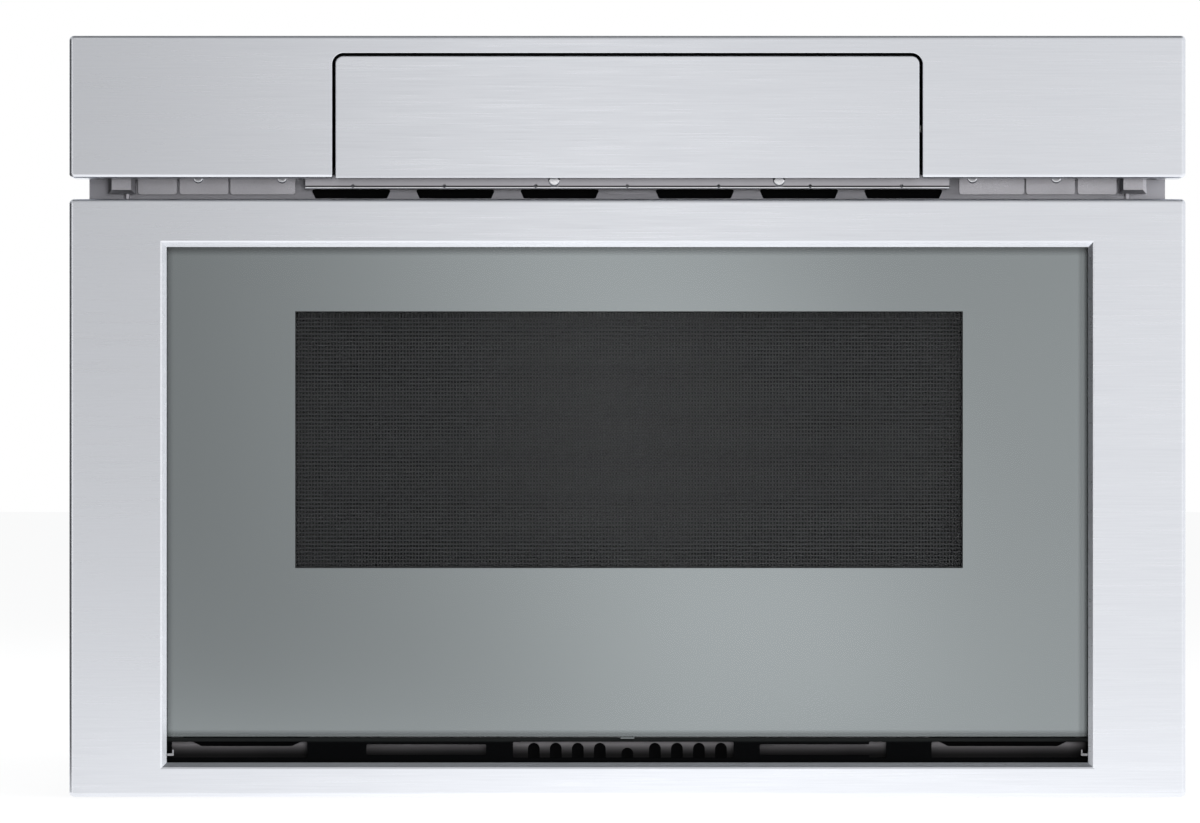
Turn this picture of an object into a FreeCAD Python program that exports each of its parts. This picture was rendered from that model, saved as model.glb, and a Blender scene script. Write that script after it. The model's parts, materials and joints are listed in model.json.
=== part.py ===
"""Built-in microwave drawer with a tilt-out control flap, in millimetres.

X runs to the right as the user sees it, Y runs from the user into the cabinet and Z runs up. The sizes
below count Y from the cabinet's face and Z from the plane that the base runners stand on; the finished
pieces are moved back by FRAME_SHIFT, so that the origin lies under the middle of the whole appliance.
"""
import FreeCAD
import Part
import math
import os

from FreeCAD import Vector

# ---------------------------------------------------------------- sheet, fits and small gaps
SHEET = 1.0  # chassis and cavity steel
SKIN = 1.2  # stainless of the visible fronts
SKIN_LAP = 1.0  # room between the fascia's folds and what stands inside them
FLANGE_THICK = 1.5
SHAFT_FIT = 0.05  # radial gap of a shaft in its bore
SCREW_FIT = 0.1  # radial gap of a screw in its hole
SLIDE_FIT = 0.4  # gap between a plastic guide and what slides in it
FOLD_ROUND = 2.2  # rounding of the folds round the stainless fronts
FOLD_CORNER = 2.6  # rounding of their corners
FLAP_ROUND = 0.7  # rounding along the flap's edges
OPENING_ROUND = 0.5  # and along the edge of its opening
THROUGH = 9.0  # how far a cutter stands out of a thin sheet

# ---------------------------------------------------------------- food space and cavity
INTERIOR_WIDTH = 440.0
INTERIOR_DEPTH = 417.5
INTERIOR_HEIGHT = 178.6
WALL_GAP = 5.0  # drawer wall to cavity wall
FLOOR_GAP = 5.0  # drawer floor to cavity floor
REAR_GAP = 4.5
WALL_DROP = 8.6  # drawer wall's rim below the cavity's ceiling
RIM = 3.0
PLATE_THICK = 4.0  # ceramic floor plate
PLATE_EDGE = 1.0  # gap round it
FLOOR_PLATE_CORNER = 8.0
STIRRER_OPENING_R = 85.0

# ---------------------------------------------------------------- room round the cavity
SIDE_SPACE = 49.5
BASE_SPACE = 72.0
TOP_SPACE = 99.4
REAR_SPACE = 122.0
RUNNER_HEIGHT = 6.0
RUNNER_WIDTH = 24.0
RUNNER_INSET = 76.5  # runner's middle from the side panel

# ---------------------------------------------------------------- chassis panels
PAN_FOLD = 14.0  # folded edges of the base pan
PAN_RUNNER_END = 12.0  # end of a runner from the pan's edge
LID_FOLD = 16.0
LID_FOLD_START = 4.0
RIB_DEPTH = 3.0  # ribs pressed into the panels
SIDE_RIB_WIDTH = 24.0
SIDE_RIB_RISE = 75.0  # from the panel's middle
SIDE_RIB_FRONT = 60.0
SIDE_RIB_REAR = 150.0
LID_RIB_WIDTH = 30.0
LID_RIB_PITCH = 170.0
LID_RIB_FRONT = 70.0
LID_RIB_REAR = 170.0
REAR_RIB_WIDTH = 20.0
REAR_RIB_SPAN = (-170.0, 20.0)  # measured on the panel seen from behind
REAR_RIB_PLACES = (-121.0, 91.0)
PAN_SLOTS = 9
PAN_SLOT = (5.0, 60.0)  # width and length of one air slot
PAN_SLOT_PITCH = 14.0
SIDE_SLOTS = 8
SIDE_SLOT = (4.0, 28.0)
SIDE_SLOT_PITCH = 11.0
SIDE_SLOT_ROWS = 3
SIDE_SLOT_ROW_PITCH = 38.0
SIDE_SLOT_REAR = 75.0  # middle of the field from the rear edge
SIDE_SLOT_EDGE = 50.0  # first row from the upper or lower edge
LID_SLOTS = 10
LID_SLOT = (5.0, 34.0)
LID_SLOT_PITCH = 12.0
LID_SLOT_ROWS = 2
LID_SLOT_ROW_PITCH = 44.0
LID_SLOT_REAR = 60.0
LID_SLOT_SIDE = 120.0  # middle of each field from the lid's middle
REAR_SLOTS = 12
REAR_SLOT = (4.0, 22.0)
REAR_SLOT_PITCH = 11.0
REAR_SLOT_ROWS = 3
REAR_SLOT_ROW_PITCH = 30.0
REAR_SLOT_PLACE = (-130.0, -60.3)
FAN_GRILLE = ((14.0, 6), (27.0, 12), (40.0, 18))  # radius and number of the holes on each circle
FAN_GRILLE_HOLE_R = 4.0
SCREW_ROW_LOW = 8.0  # panel screws above the pan
SCREW_ROW_TOP = 9.0  # and below the lid
SIDE_SCREW_END = 40.0  # first and last screw from the panel's ends
REAR_SCREW_END = 60.0
WELD_GROOVE = 2.0  # groove round the chassis shell in the flange's back
WELD_GROOVE_DEPTH = 0.3

# ---------------------------------------------------------------- fronts
FLANGE_OVERLAP = 16.7  # flange past the side panels
FLANGE_RISE = 32.0  # flange above the top cover
FRONT_OVERHANG = 9.0  # stainless fronts past the flange
FRONT_PROUD = 38.0  # front faces ahead of the cabinet's face
FRONT_LIFT = 0.8  # lower edge of the drawer front above the sill
DOOR_RISE = 56.0  # drawer front above the cavity's ceiling
REVEAL_GAP = 11.4
FASCIA_HEIGHT = 77.4
FASCIA_FOLD = 9.2  # fascia's rear fold inside the flange's edge
FASCIA_LOWER_FOLD = 14.0  # depth of its lower fold
FRAME_SIDE = 50.0  # stainless beside the glass opening
FRAME_ABOVE = 23.2
FRAME_BELOW = 15.8
CHAMFER = 2.8
BROKEN_EDGE = (0.9, 0.37)  # width and depth of the slighter bevel between the chamfer and the face
BEZEL_DEPTH = 4.5
BEZEL_WIDTH = 7.0
VENT_HEIGHT = 13.8  # open strip under the glass
GLASS_THICK = 4.0
GLASS_LAP = 2.2  # glass behind the bezel
CARRIER_THICK = 4.0
SCREEN_THICK = 0.8
SCREEN_LAP = 10.0
WINDOW_SIDE = 68.8  # clear window from the glass edges
WINDOW_ABOVE = 35.4
WINDOW_BELOW = 91.8
CHOKE_THICK = 2.0
CHOKE_LAP = 3.0  # choke past the cavity's mouth
DOOR_GAP = 1.5  # choke to flange
GRILLE_SETBACK = 2.5  # behind the glass's face
GRILLE_THICK = 4.0
GRILLE_BAR_LOW = 2.4  # grille left below and above its windows
GRILLE_BAR_TOP = 2.6
GRILLE_LEFT = (2.5, 73.8)  # outer windows: gap to the opening's side and width
GRILLE_RIGHT = (0.5, 84.5)
GRILLE_MIDDLE = (-62.2, 57.8)  # inner windows, from the middle of the front
GRILLE_NEXT_LEFT = (-142.0, -76.8)
GRILLE_NEXT_RIGHT = (72.0, 140.9)
GRILLE_NEXT_NARROWER = 1.4  # the two windows beside the middle one are lower by this at both edges
GRILLE_BUMP = 9.5  # full-height end of the right one of them
GRILLE_CORNER = 0.8
BAFFLE_SETBACK = 6.0
BAFFLE_HOLE_FIRST = 15.0
BAFFLE_HOLE_PITCH = 12.0
BAFFLE_HOLES = 4  # arched holes on each side of the small round one
BAFFLE_HOLE_R = 3.2
BAFFLE_HOLE_TOP = 3.5  # crown of the arched holes below the glass
BAFFLE_SMALL_TOP = 6.2
NOTCH_LEFT = (43.0, 24.6)  # end notches: middle from the opening's side, and half width at the bottom
NOTCH_RIGHT = (45.8, 29.8)
NOTCH_SLOPE = 15.0
NOTCH_DROP = 5.4  # bottom of the notches below the glass
CORE_SLOT = (36.0, 3.0)  # width and corner of the door core's air slots
CORE_SLOT_PITCH = 50.0
CORE_SLOTS = 9
TOP_RETURN = 25.0  # folded depth of the drawer front's upper edge behind the gap
CHOKE_CORNER = 4.0
PANE_LAP = 5.0  # inner pane past the window

# ---------------------------------------------------------------- control flap
FASCIA_SIDE = 144.5  # fascia beside the flap
FLAP_HEIGHT = 66.3
FLAP_GAP = 1.6
FLAP_CORNER = 4.5
FLAP_RETURN = 8.0
PIVOT_BACK = 12.0  # flap pivot behind the front face
PIVOT_UP = 4.0  # and above the flap's lower edge
PIVOT_PIN_R = 2.0
EAR_R = 3.8
TRAY_INSET = 13.4  # tray's end wall from the flap's side
TRAY_WALL = 2.0
TRAY_TOP_DROP = 4.3
TOUCH_THICK = 2.0
TRAY_REAR_GAP = 2.0
TOUCH_CORNER = 3.0
TOUCH_REST = 8.0  # tray left under the ends of the touch glass
EAR_WIDTH = 4.0
EAR_GAP = 0.2  # ear to the flap's folded edge
BOARD_THICK = 1.6
DISPLAY_HALF = 34.0
DISPLAY_HEIGHT = 2.2
CONNECTOR = (60.0, 84.0)
HOUSING_SIDE_GAP = 1.6
HOUSING_LIFT = 3.0  # housing floor above the fascia's lower edge
HOUSING_TOP_GAP = 1.0
FLAP_MODULE = 0.8
SECTOR_TEETH = 50
FLAP_PINION_TEETH = 16
FLAP_GEAR_WIDTH = 5.0
FLAP_GEAR_ANGLE = 62.0  # from the pivot to the pinion, above the rearward direction
FLAP_TRAVEL = 45.0
SECTOR_MARGIN = 13.0  # teeth past the meshing range, in degrees
FLAP_MOTOR_BOX = (14.0, 9.0, 12.0)  # length, half depth and half height of its gearbox
FLAP_MOTOR_R = 8.4
FLAP_MOTOR_LENGTH = 30.0

# ---------------------------------------------------------------- reveal behind the gap
VENT_FIRST = 37.0  # middle of the first slot on each side
VENT_PITCH = 57.0
VENT_TOP_WIDTH = 43.7
VENT_SLOT_HEIGHT = 5.0
VENT_SLOPE = 0.45
VENT_DROP = 5.3  # slot's upper edge below the fascia
VENT_CORNER = 1.0
TAB_HALF = 10.8
TAB_HEIGHT = 2.0
TAB_RAISE = 1.0
LEDGE_GAP = 5.9  # ledge bar to the raised plates
LEDGE_SETBACK = 24.0  # from the front face
LEDGE_DROP = 5.5
LEDGE_LIP_R = 0.9
LEDGE_HOLE_R = 1.0
LEDGE_HOLE_PITCH = 49.9
LEDGE_HOLES = 3  # on each side of the middle one
LEDGE_HOLE_DROP = 3.8
PLATE_WIDTHS = (21.2, 26.6, 35.4)  # raised plates on each side, from the outer to the inner one
PLATE_GAPS = (1.4, 1.6, 1.1)  # gap on the outer side of each
PLATE_RAISE = 3.0
PLATE_DROP = 8.1
PLATE_RISE = 9.0
PLATE_CORNER = 1.5
PLATE_SCREWS = ((1, 16.4), (2, 7.1))  # number of the plate, and the screw from its inner end
BUMPER_INSET = 10.7  # outer side of the bumper from the flange's edge
BUMPER_WIDTH = 14.6
BUMPER_HEIGHT = 20.0
BUMPER_DROP = 7.8
BUMPER_DEPTH = 10.0
BUMPER_CHAMFER = 2.0  # round its front face
BUMPER_PIN_R = 1.4
BUMPER_PIN_LENGTH = 11.0
BUMPER_PIN_INSET = 4.2  # pin's middle from the bumper's inner side
REVEAL_SCREW_RISE = 0.8  # screws of the plates above the fascia's lower edge
REVEAL_SCREW_R = 3.0
LEDGE_SCREWS = (-39.9, 82.8)
LEDGE_SCREW_DROP = 0.6
LEDGE_SCREW_R = 3.3

# ---------------------------------------------------------------- slides
RAIL_STANDOFF = 9.0
RAIL_STEEL = 1.2
RAIL_WIDTH = 12.7
RAIL_HEIGHT = 45.0
RAIL_LENGTH = 415.0
RAIL_RISE = 85.0  # rail's middle above the interior floor
BALL_R = 1.25
BALL_GAP = 0.15  # balls to the member that rolls on them
BALL_STRIP = 1.2
RAIL_GAP = 2.8  # room for the balls between two members
BALL_COUNT = 9
STRIP_WIDTH = 4.0
STRIP_END = 20.0  # ball strip's end from the rail's end
MIDDLE_OFFSET = 1.8  # web of the middle member from that of the outer one
INNER_RAIL_WIDTH = 7.4
INNER_RAIL_PROUD = 0.4
RAIL_START = 2.0
BRACKET_LENGTH = 24.0
BRACKET_WALL = 1.5
BRACKET_INSET = (38.0, 58.0)  # first and last bracket from the rail's ends
BRACKET_LOWER = 3.0  # bracket's edges inside the rail's height
DRAWER_TRAVEL = 381.0
SLOT_CLEAR = 1.5

# ---------------------------------------------------------------- drive
RACK_MODULE = 1.5
RACK_HALF = 8.0
RACK_BAR = 6.0
RACK_DROP = 9.0  # rack bar below the cavity floor
DRIVE_TEETH = 18
DRIVE_Y = 30.0
DRIVE_GEAR_WIDTH = 14.0
DRIVE_SHAFT_R = 4.0
BACKLASH = 0.12
PRESSURE_ANGLE = math.radians(20.0)
ADDENDUM = 0.9
DEDENDUM = 1.25
MESH_GAP = 0.05  # extra centre distance of two gears
RACK_SPARE = 17.0  # rack past the pinion with the drawer open
RACK_FOOT_HALF = 18.0
RACK_FOOT_DROP = 6.0
DRIVE_SHAFT_SPAN = (-21.0, 24.0)
GEARBOX = (20.0, 22.0, 4.0)  # width, half depth and corner
GEARBOX_START = 12.0
DRIVE_MOTOR_R = 18.0
DRIVE_MOTOR_LENGTH = 62.0
DRIVE_MOTOR_RISE = 23.0
DRIVE_FOOT = (28.0, 30.0, 3.0)  # width, half depth and thickness
BEARING_WIDTH = 7.0
BEARING_HALF = 13.0
BEARING_TOP = 12.0  # above the shaft
BEARING_END = -13.0
BEARING_FOOT = 16.0
GUIDE_WALL = 3.0
GUIDE_START = 12.0
GUIDE_LENGTH = 178.0

# ---------------------------------------------------------------- mounting
MOUNT_HOLE_R = 2.5
MOUNT_SPACING_Z = 250.0
MOUNT_LOWEST = 60.0
MOUNT_INSET = 9.2  # cabinet screws from the flange's edge
FLANGE_CORNER = 3.0
FLANGE_LIFT = 1.2  # flange above the drawer front's lower edge
GLAND_R = 8.0
GLAND_PROUD = 12.0
GLAND_RISE = 43.0  # above the base pan
GLAND_WALL = 3.0
GLAND_FLANGE = 3.0
GLAND_NUT = 5.0
GLAND_GRIPS = 12
GLAND_GRIP_R = 0.9
SCREW_R = 1.9
SCREW_HEAD_R = 3.6
SCREW_HEAD = 1.8
SCREW_LENGTH = 3.5
SCREW_RECESS = 0.9

# ---------------------------------------------------------------- latches
LATCH_INSET = 12.0  # latch from the door core's side
LATCH_RISE = 20.4  # above the cavity's ceiling
HOOK_REACH = 30.0  # hook's tip behind the cabinet's face
HOOK_HALF = 4.0
HOOK_THICK = 4.0
HOOK_FOOT = (6.0, 1.5, 9.0)  # half width, thickness and half height
LATCH_SLOT = (3.0, 6.0)  # half width and half height of the slots that the hooks pass
SWITCH_DEPTH = 44.0
SWITCH_HALF = 8.0
SWITCH_WALL_LOW = 7.0  # switch block below and above its slot
SWITCH_WALL_TOP = 9.0
SWITCH_BLADE = (5.0, 8.0, 0.8)  # half width, length and thickness
SWITCH_BLADE_PITCH = 8.0

# ---------------------------------------------------------------- high-frequency and high-voltage parts
DOME_LAP = 5.0  # dome past the opening for the stirrer
DUCT_HEIGHT = 26.4
DUCT_HALF = 41.0
DUCT_END = 35.0  # duct past the magnetron's middle
ANTENNA_HOLE_R = 14.0
MAGNETRON_BACK = 45.0  # its middle behind the cavity's rear wall
MAGNETRON_HALF = (44.0, 33.0)
MAGNETRON_HEIGHT = 78.0
YOKE = 2.0
MAGNETRON_FINS = 6
FIN = 0.8
FIN_PITCH = 10.0
FIN_FIRST = 14.0
ANODE_R = 20.0
ANTENNA_R = 9.0
ANTENNA_LENGTH = 20.0
FILTER_BOX = (32.0, 27.0, 26.0)  # half width, half depth and height
STIRRER_LIFT = 8.0
STIRRER_R = 74.0
STIRRER_BLADES = 4
STIRRER_BLADE = (30.0, 0.8, 14.0, 8.0)  # width, thickness, tilt in degrees and corner
STIRRER_HUB = (15.0, 8.0)  # radius and height
STIRRER_SHAFT_R = 2.5
STIRRER_MOTOR = (24.0, 16.0)  # radius and height
STIRRER_MOTOR_EAR = (33.0, 5.5, 1.2)  # half length, radius and thickness
TRANSFORMER = (90.0, 80.0, 70.0)  # its laminated core: width, depth and height
TRANSFORMER_INSET = 20.0  # from the cavity's side
TRANSFORMER_BACK = 24.0  # behind the cavity's rear wall
TRANSFORMER_FOOT = (9.0, 4.0)
COIL_INSET = 14.0
COIL_PROUD = 14.0
COIL_HEIGHT = 42.0
CAPACITOR = (50.0, 32.0, 90.0)
CAPACITOR_INSET = 20.0
CAPACITOR_BACK = 30.0
TERMINAL_POST = (5.0, 6.0, 10.0)  # radius, height and distance from the middle
TERMINAL_BLADE = (3.0, 0.4, 8.0)  # half width, half thickness and height

# ---------------------------------------------------------------- cooling fan
FAN_X = -130.0
FAN_RISE = 130.0  # fan's middle above the cavity's floor
FAN_R = 52.0
FAN_TIP_GAP = 2.5
FAN_CASE = 120.0
FAN_DEPTH = 25.0
FAN_CORNER = 5.0
FAN_ARM = 4.0
FAN_ARM_THICK = 2.0
FAN_RING_R = 22.0
FAN_SHAFT_R = 1.5
FAN_SHAFT_ROOM = 3.0
FAN_BLADES = 5
FAN_BLADE = (34.0, 1.6, 24.0)  # width, thickness and tilt in degrees
FAN_HUB = (17.0, 16.0)
FAN_SETBACK = 4.0  # hub behind the spider
FAN_MOTOR = (20.0, 22.0)
FAN_STACK = (46.0, 12.0, 36.0)

# ---------------------------------------------------------------- electric parts
LAMP_BOX = (34.0, 40.0, 36.0)
LAMP_PLACE = (90.0, 52.0)  # from the drawer's rear end and below the ceiling
LAMP_SHELL = 1.2
LAMP_SOCKET = (9.0, 14.0)
BULB_R = 9.5
LAMP_HOLE_R = 1.5
LAMP_HOLE_PITCH = 6.0
LAMP_HOLES = (4, 3)
AIR_HOLE_R = 2.0
AIR_HOLE_PITCH = 8.0
AIR_HOLES = (8, 3)
AIR_HOLES_PLACE = (120.0, 40.0)
CUTOUT = (8.0, 7.0)
CUTOUT_EAR = (11.0, 1.2)
CONTROL_BOARD = (110.0, 140.0)
CONTROL_BOARD_PLACE = (12.0, 50.0)  # from the cavity's left side and from the cabinet's face
STANDOFF = (3.5, 10.0)
STANDOFF_INSET = 8.0
RELAY = (19.0, 16.0, 15.4)
RELAY_PITCH = 24.0
RELAYS = 4
SUPPLY = (40.0, 32.0, 28.4)
BOARD_CAN = (6.0, 22.0)
SOCKET_ROW = (84.0, 10.0, 11.4)
FILTER_BOARD = (60.0, 80.0)
FILTER_BOARD_PLACE = (35.0, 180.0)  # outwards from the cavity's inner side and above the base pan
FILTER_STANDOFF = (3.0, 8.4)
FILTER_COIL = (15.0, 6.0, 22.0)
FILTER_CAPACITOR = (34.0, 16.0, 16.0)

# ---------------------------------------------------------------- places worked out from the sizes
BASE_TOP = RUNNER_HEIGHT + SHEET
CAVITY_FLOOR = BASE_TOP + BASE_SPACE + SHEET
DRAWER_FLOOR = CAVITY_FLOOR + FLOOR_GAP
INTERIOR_FLOOR = DRAWER_FLOOR + SHEET + PLATE_THICK
CEILING = INTERIOR_FLOOR + INTERIOR_HEIGHT
CEILING_TOP = CEILING + SHEET
WALL_TOP = CEILING - WALL_DROP
CHASSIS_TOP = CEILING_TOP + TOP_SPACE + SHEET

WALL_HALF = INTERIOR_WIDTH / 2 + SHEET
CAVITY_INNER = WALL_HALF + WALL_GAP
CAVITY_HALF = CAVITY_INNER + SHEET
SIDE_INNER = CAVITY_HALF + SIDE_SPACE
CHASSIS_HALF = SIDE_INNER + SHEET
FLANGE_HALF = CHASSIS_HALF + FLANGE_OVERLAP
FRONT_HALF = FLANGE_HALF + FRONT_OVERHANG

FRONT = -FRONT_PROUD
SKIN_BACK = FRONT + SKIN
FLANGE_FRONT = -FLANGE_THICK
CHOKE_BACK = FLANGE_FRONT - DOOR_GAP
CORE_BACK = CHOKE_BACK - CHOKE_THICK
GLASS_FRONT = FRONT + BEZEL_DEPTH
GLASS_BACK = GLASS_FRONT + GLASS_THICK
CARRIER_BACK = GLASS_BACK + CARRIER_THICK
SCREEN_BACK = CARRIER_BACK + SCREEN_THICK
DRAWER_REAR = CHOKE_BACK + INTERIOR_DEPTH
CAVITY_REAR = DRAWER_REAR + SHEET + REAR_GAP
REAR_INNER = CAVITY_REAR + SHEET + REAR_SPACE
CHASSIS_REAR = REAR_INNER + SHEET

DRAWER_TOP = CEILING_TOP + DOOR_RISE
FASCIA_LOW = DRAWER_TOP + REVEAL_GAP
FASCIA_TOP = FASCIA_LOW + FASCIA_HEIGHT
OPENING_HALF = FRONT_HALF - FRAME_SIDE - CHAMFER
OPENING_LOW = FRONT_LIFT + FRAME_BELOW + CHAMFER
OPENING_TOP = DRAWER_TOP - FRAME_ABOVE - CHAMFER
GLASS_LOW = OPENING_LOW + VENT_HEIGHT
GLASS_TOP = OPENING_TOP + GLASS_LAP
GLASS_HALF = OPENING_HALF + GLASS_LAP
WINDOW_HALF = OPENING_HALF - WINDOW_SIDE
WINDOW_LOW = GLASS_LOW + WINDOW_BELOW
WINDOW_TOP = OPENING_TOP - WINDOW_ABOVE
CORE_HALF = OPENING_HALF + BEZEL_WIDTH
CORE_LOW = OPENING_LOW - BEZEL_WIDTH + SHEET
CORE_TOP = OPENING_TOP + BEZEL_WIDTH
GRILLE_FRONT = GLASS_FRONT + GRILLE_SETBACK
BAFFLE_FRONT = GRILLE_FRONT + GRILLE_THICK + BAFFLE_SETBACK

FLAP_HALF = FRONT_HALF - FASCIA_SIDE
FLAP_TOP = FASCIA_LOW + FLAP_HEIGHT
PIVOT_Y = FRONT + PIVOT_BACK
PIVOT_Z = FASCIA_LOW + PIVOT_UP
FLAP_OPENING_HALF = FLAP_HALF + FLAP_GAP
FLAP_OPENING_TOP = FLAP_TOP + FLAP_GAP
TRAY_HALF = FLAP_HALF - TRAY_INSET
TOUCH_TOP = FLAP_TOP - TRAY_TOP_DROP
HOUSING_BACK = FLANGE_FRONT - SHEET
TRAY_REAR = HOUSING_BACK - TRAY_REAR_GAP
HOUSING_INNER = FLAP_HALF + HOUSING_SIDE_GAP
HOUSING_FLOOR = FASCIA_LOW + HOUSING_LIFT
HOUSING_TOP = FLAP_OPENING_TOP + HOUSING_TOP_GAP
SECTOR_R = FLAP_MODULE * SECTOR_TEETH / 2
FLAP_PINION_R = FLAP_MODULE * FLAP_PINION_TEETH / 2
FLAP_GEAR_DISTANCE = SECTOR_R + FLAP_PINION_R + MESH_GAP
FLAP_PINION_Y = PIVOT_Y + FLAP_GEAR_DISTANCE * math.cos(math.radians(FLAP_GEAR_ANGLE))
FLAP_PINION_Z = PIVOT_Z + FLAP_GEAR_DISTANCE * math.sin(math.radians(FLAP_GEAR_ANGLE))

RAIL_INNER = CAVITY_HALF + RAIL_STANDOFF
RAIL_Z = INTERIOR_FLOOR + RAIL_RISE
MIDDLE_HEIGHT = RAIL_HEIGHT - 2 * RAIL_STEEL - 2 * RAIL_GAP
INNER_HEIGHT = MIDDLE_HEIGHT - 2 * RAIL_STEEL - 2 * RAIL_GAP
RACK_TOP = CAVITY_FLOOR - SHEET - RACK_DROP
RACK_ROOT = RACK_TOP - RACK_BAR
RACK_PITCH_LINE = RACK_ROOT - DEDENDUM * RACK_MODULE
DRIVE_R = RACK_MODULE * DRIVE_TEETH / 2
DRIVE_Z = RACK_PITCH_LINE - DRIVE_R - MESH_GAP
RACK_REAR = DRIVE_Y + DRAWER_TRAVEL + RACK_SPARE

LATCH_X = CORE_HALF - LATCH_INSET
LATCH_Z = CEILING_TOP + LATCH_RISE
STIRRER_Y = INTERIOR_DEPTH / 2
DOME_R = STIRRER_OPENING_R + DOME_LAP
MAGNETRON_Y = CAVITY_REAR + MAGNETRON_BACK
DUCT_REAR = MAGNETRON_Y + DUCT_END
FAN_Z = CAVITY_FLOOR + FAN_RISE
FAN_FRONT = REAR_INNER - FAN_DEPTH

BUMPER_OUTER = FLANGE_HALF - BUMPER_INSET
BUMPER_INNER = BUMPER_OUTER - BUMPER_WIDTH
PLATES_INNER = BUMPER_INNER - sum(PLATE_WIDTHS) - sum(PLATE_GAPS)
LEDGE_HALF = PLATES_INNER - LEDGE_GAP
LEDGE_FRONT = FRONT + LEDGE_SETBACK
PLATE_FRONT = FLANGE_FRONT - PLATE_RAISE

FRAME_SHIFT = Vector(0, -(CHASSIS_REAR + GLAND_PROUD + FRONT) / 2, 0)
X_AXIS = Vector(1, 0, 0)
Y_AXIS = Vector(0, 1, 0)
Z_AXIS = Vector(0, 0, 1)


# ---------------------------------------------------------------- shapes that many pieces use
def block(x, y, z):
    """Box between two values on each axis."""
    low = Vector(min(x), min(y), min(z))
    return Part.makeBox(max(x) - low.x, max(y) - low.y, max(z) - low.z, low)


def across(half, y, z):
    """Box that reaches as far to the left as to the right."""
    return block((-half, half), y, z)


def rod(centre, axis, radius, length):
    """Round bar from a point along an axis."""
    return Part.makeCylinder(radius, length, centre, axis)


def left_of(shape):
    """The same shape on the other side of the appliance."""
    return shape.mirror(Vector(0, 0, 0), X_AXIS)


def both_sides(shape):
    """A shape and its mirror image, as separate solids."""
    return Part.makeCompound([shape, left_of(shape)])


def joined(shapes):
    """One solid from shapes that touch or overlap."""
    first, *others = shapes
    return first.fuse(others).removeSplitter() if others else first


def without(shape, cutters):
    """A shape with every cutter taken out of it."""
    return shape.cut(cutters) if cutters else shape


def edges_along(shape, axis, wanted=None):
    """Straight edges parallel to an axis, and only those whose middle passes a test."""
    found = []
    for edge in shape.Edges:
        if len(edge.Vertexes) < 2 or not isinstance(edge.Curve, Part.Line):
            continue
        direction = edge.Vertexes[1].Point.sub(edge.Vertexes[0].Point)
        direction.normalize()
        if abs(direction.dot(axis)) > 0.999 and (wanted is None or wanted(edge.CenterOfMass)):
            found.append(edge)
    return found


def rounded(shape, axis, radius, wanted=None):
    """A shape with its edges along an axis rounded."""
    return shape.makeFillet(radius, edges_along(shape, axis, wanted))


def plate(x, y, z, corner):
    """Flat plate that faces the user, with round corners."""
    return rounded(block(x, y, z), Y_AXIS, corner)


def ring(outer, inner, y):
    """Rectangular ring that faces the user; outer and inner are (half width, low, top)."""
    hole_y = (y[0] - 1, y[1] + 1)
    return across(outer[0], y, outer[1:]).cut(across(inner[0], hole_y, inner[1:]))


def open_tray(half, y, z, wall, back_at):
    """Pan round a rectangle with its back sheet at one end, open towards the user."""
    body = across(half, y, z)
    inner_y = (y[0] - 1, back_at)
    return body.cut(across(half - wall, inner_y, (z[0] + wall, z[1] - wall)))


def prism_x(points, x):
    """Solid with its outline in the YZ plane, pulled along X."""
    outline = Part.makePolygon([Vector(x[0], py, pz) for py, pz in points + points[:1]])
    return Part.Face(outline).extrude(Vector(x[1] - x[0], 0, 0))


def prism_y(points, y):
    """Solid with its outline in the XZ plane, pulled along Y."""
    outline = Part.makePolygon([Vector(px, y[0], pz) for px, pz in points + points[:1]])
    return Part.Face(outline).extrude(Vector(0, y[1] - y[0], 0))


def screw(head_at, outward, shank, head_r=SCREW_HEAD_R):
    """Pan-head screw with a cross recess; head_at is on the face that the head seats on."""
    head = rod(head_at, outward, head_r, SCREW_HEAD)
    rim = [edge for edge in head.Edges if edge.CenterOfMass.sub(head_at).dot(outward) > SCREW_HEAD / 2
           and isinstance(edge.Curve, Part.Circle)]
    head = head.makeFillet(SCREW_HEAD * 0.6, rim)
    body = head.fuse(rod(head_at, outward.negative(), SCREW_R, shank))
    side = Z_AXIS if abs(outward.z) < 0.5 else X_AXIS
    slots = []
    for direction in (side, outward.cross(side)):
        bar = Part.makeBox(head_r, SCREW_RECESS, SCREW_HEAD)
        bar.translate(Vector(-head_r / 2, -SCREW_RECESS / 2, 0))
        turn = FreeCAD.Rotation(direction, outward.cross(direction), outward, "XYZ")
        floor = head_at.add(outward * (SCREW_HEAD / 2 - SHAFT_FIT))
        bar.Placement = FreeCAD.Placement(floor, turn).multiply(bar.Placement)
        slots.append(bar)
    return body.cut(slots)


def screw_hole(head_at, outward, depth):
    """Hole for a screw's shank, from just outside the face that the head seats on."""
    start = head_at.add(outward * SCREW_HEAD)
    return rod(start, outward.negative(), SCREW_R + SCREW_FIT, depth + SCREW_HEAD)


def involute_offset(angle):
    """The involute function."""
    return math.tan(angle) - angle


def gear_point(radius, angle):
    """Point on a gear blank in its own XY plane."""
    return Vector(radius * math.cos(angle), radius * math.sin(angle), 0)


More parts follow.
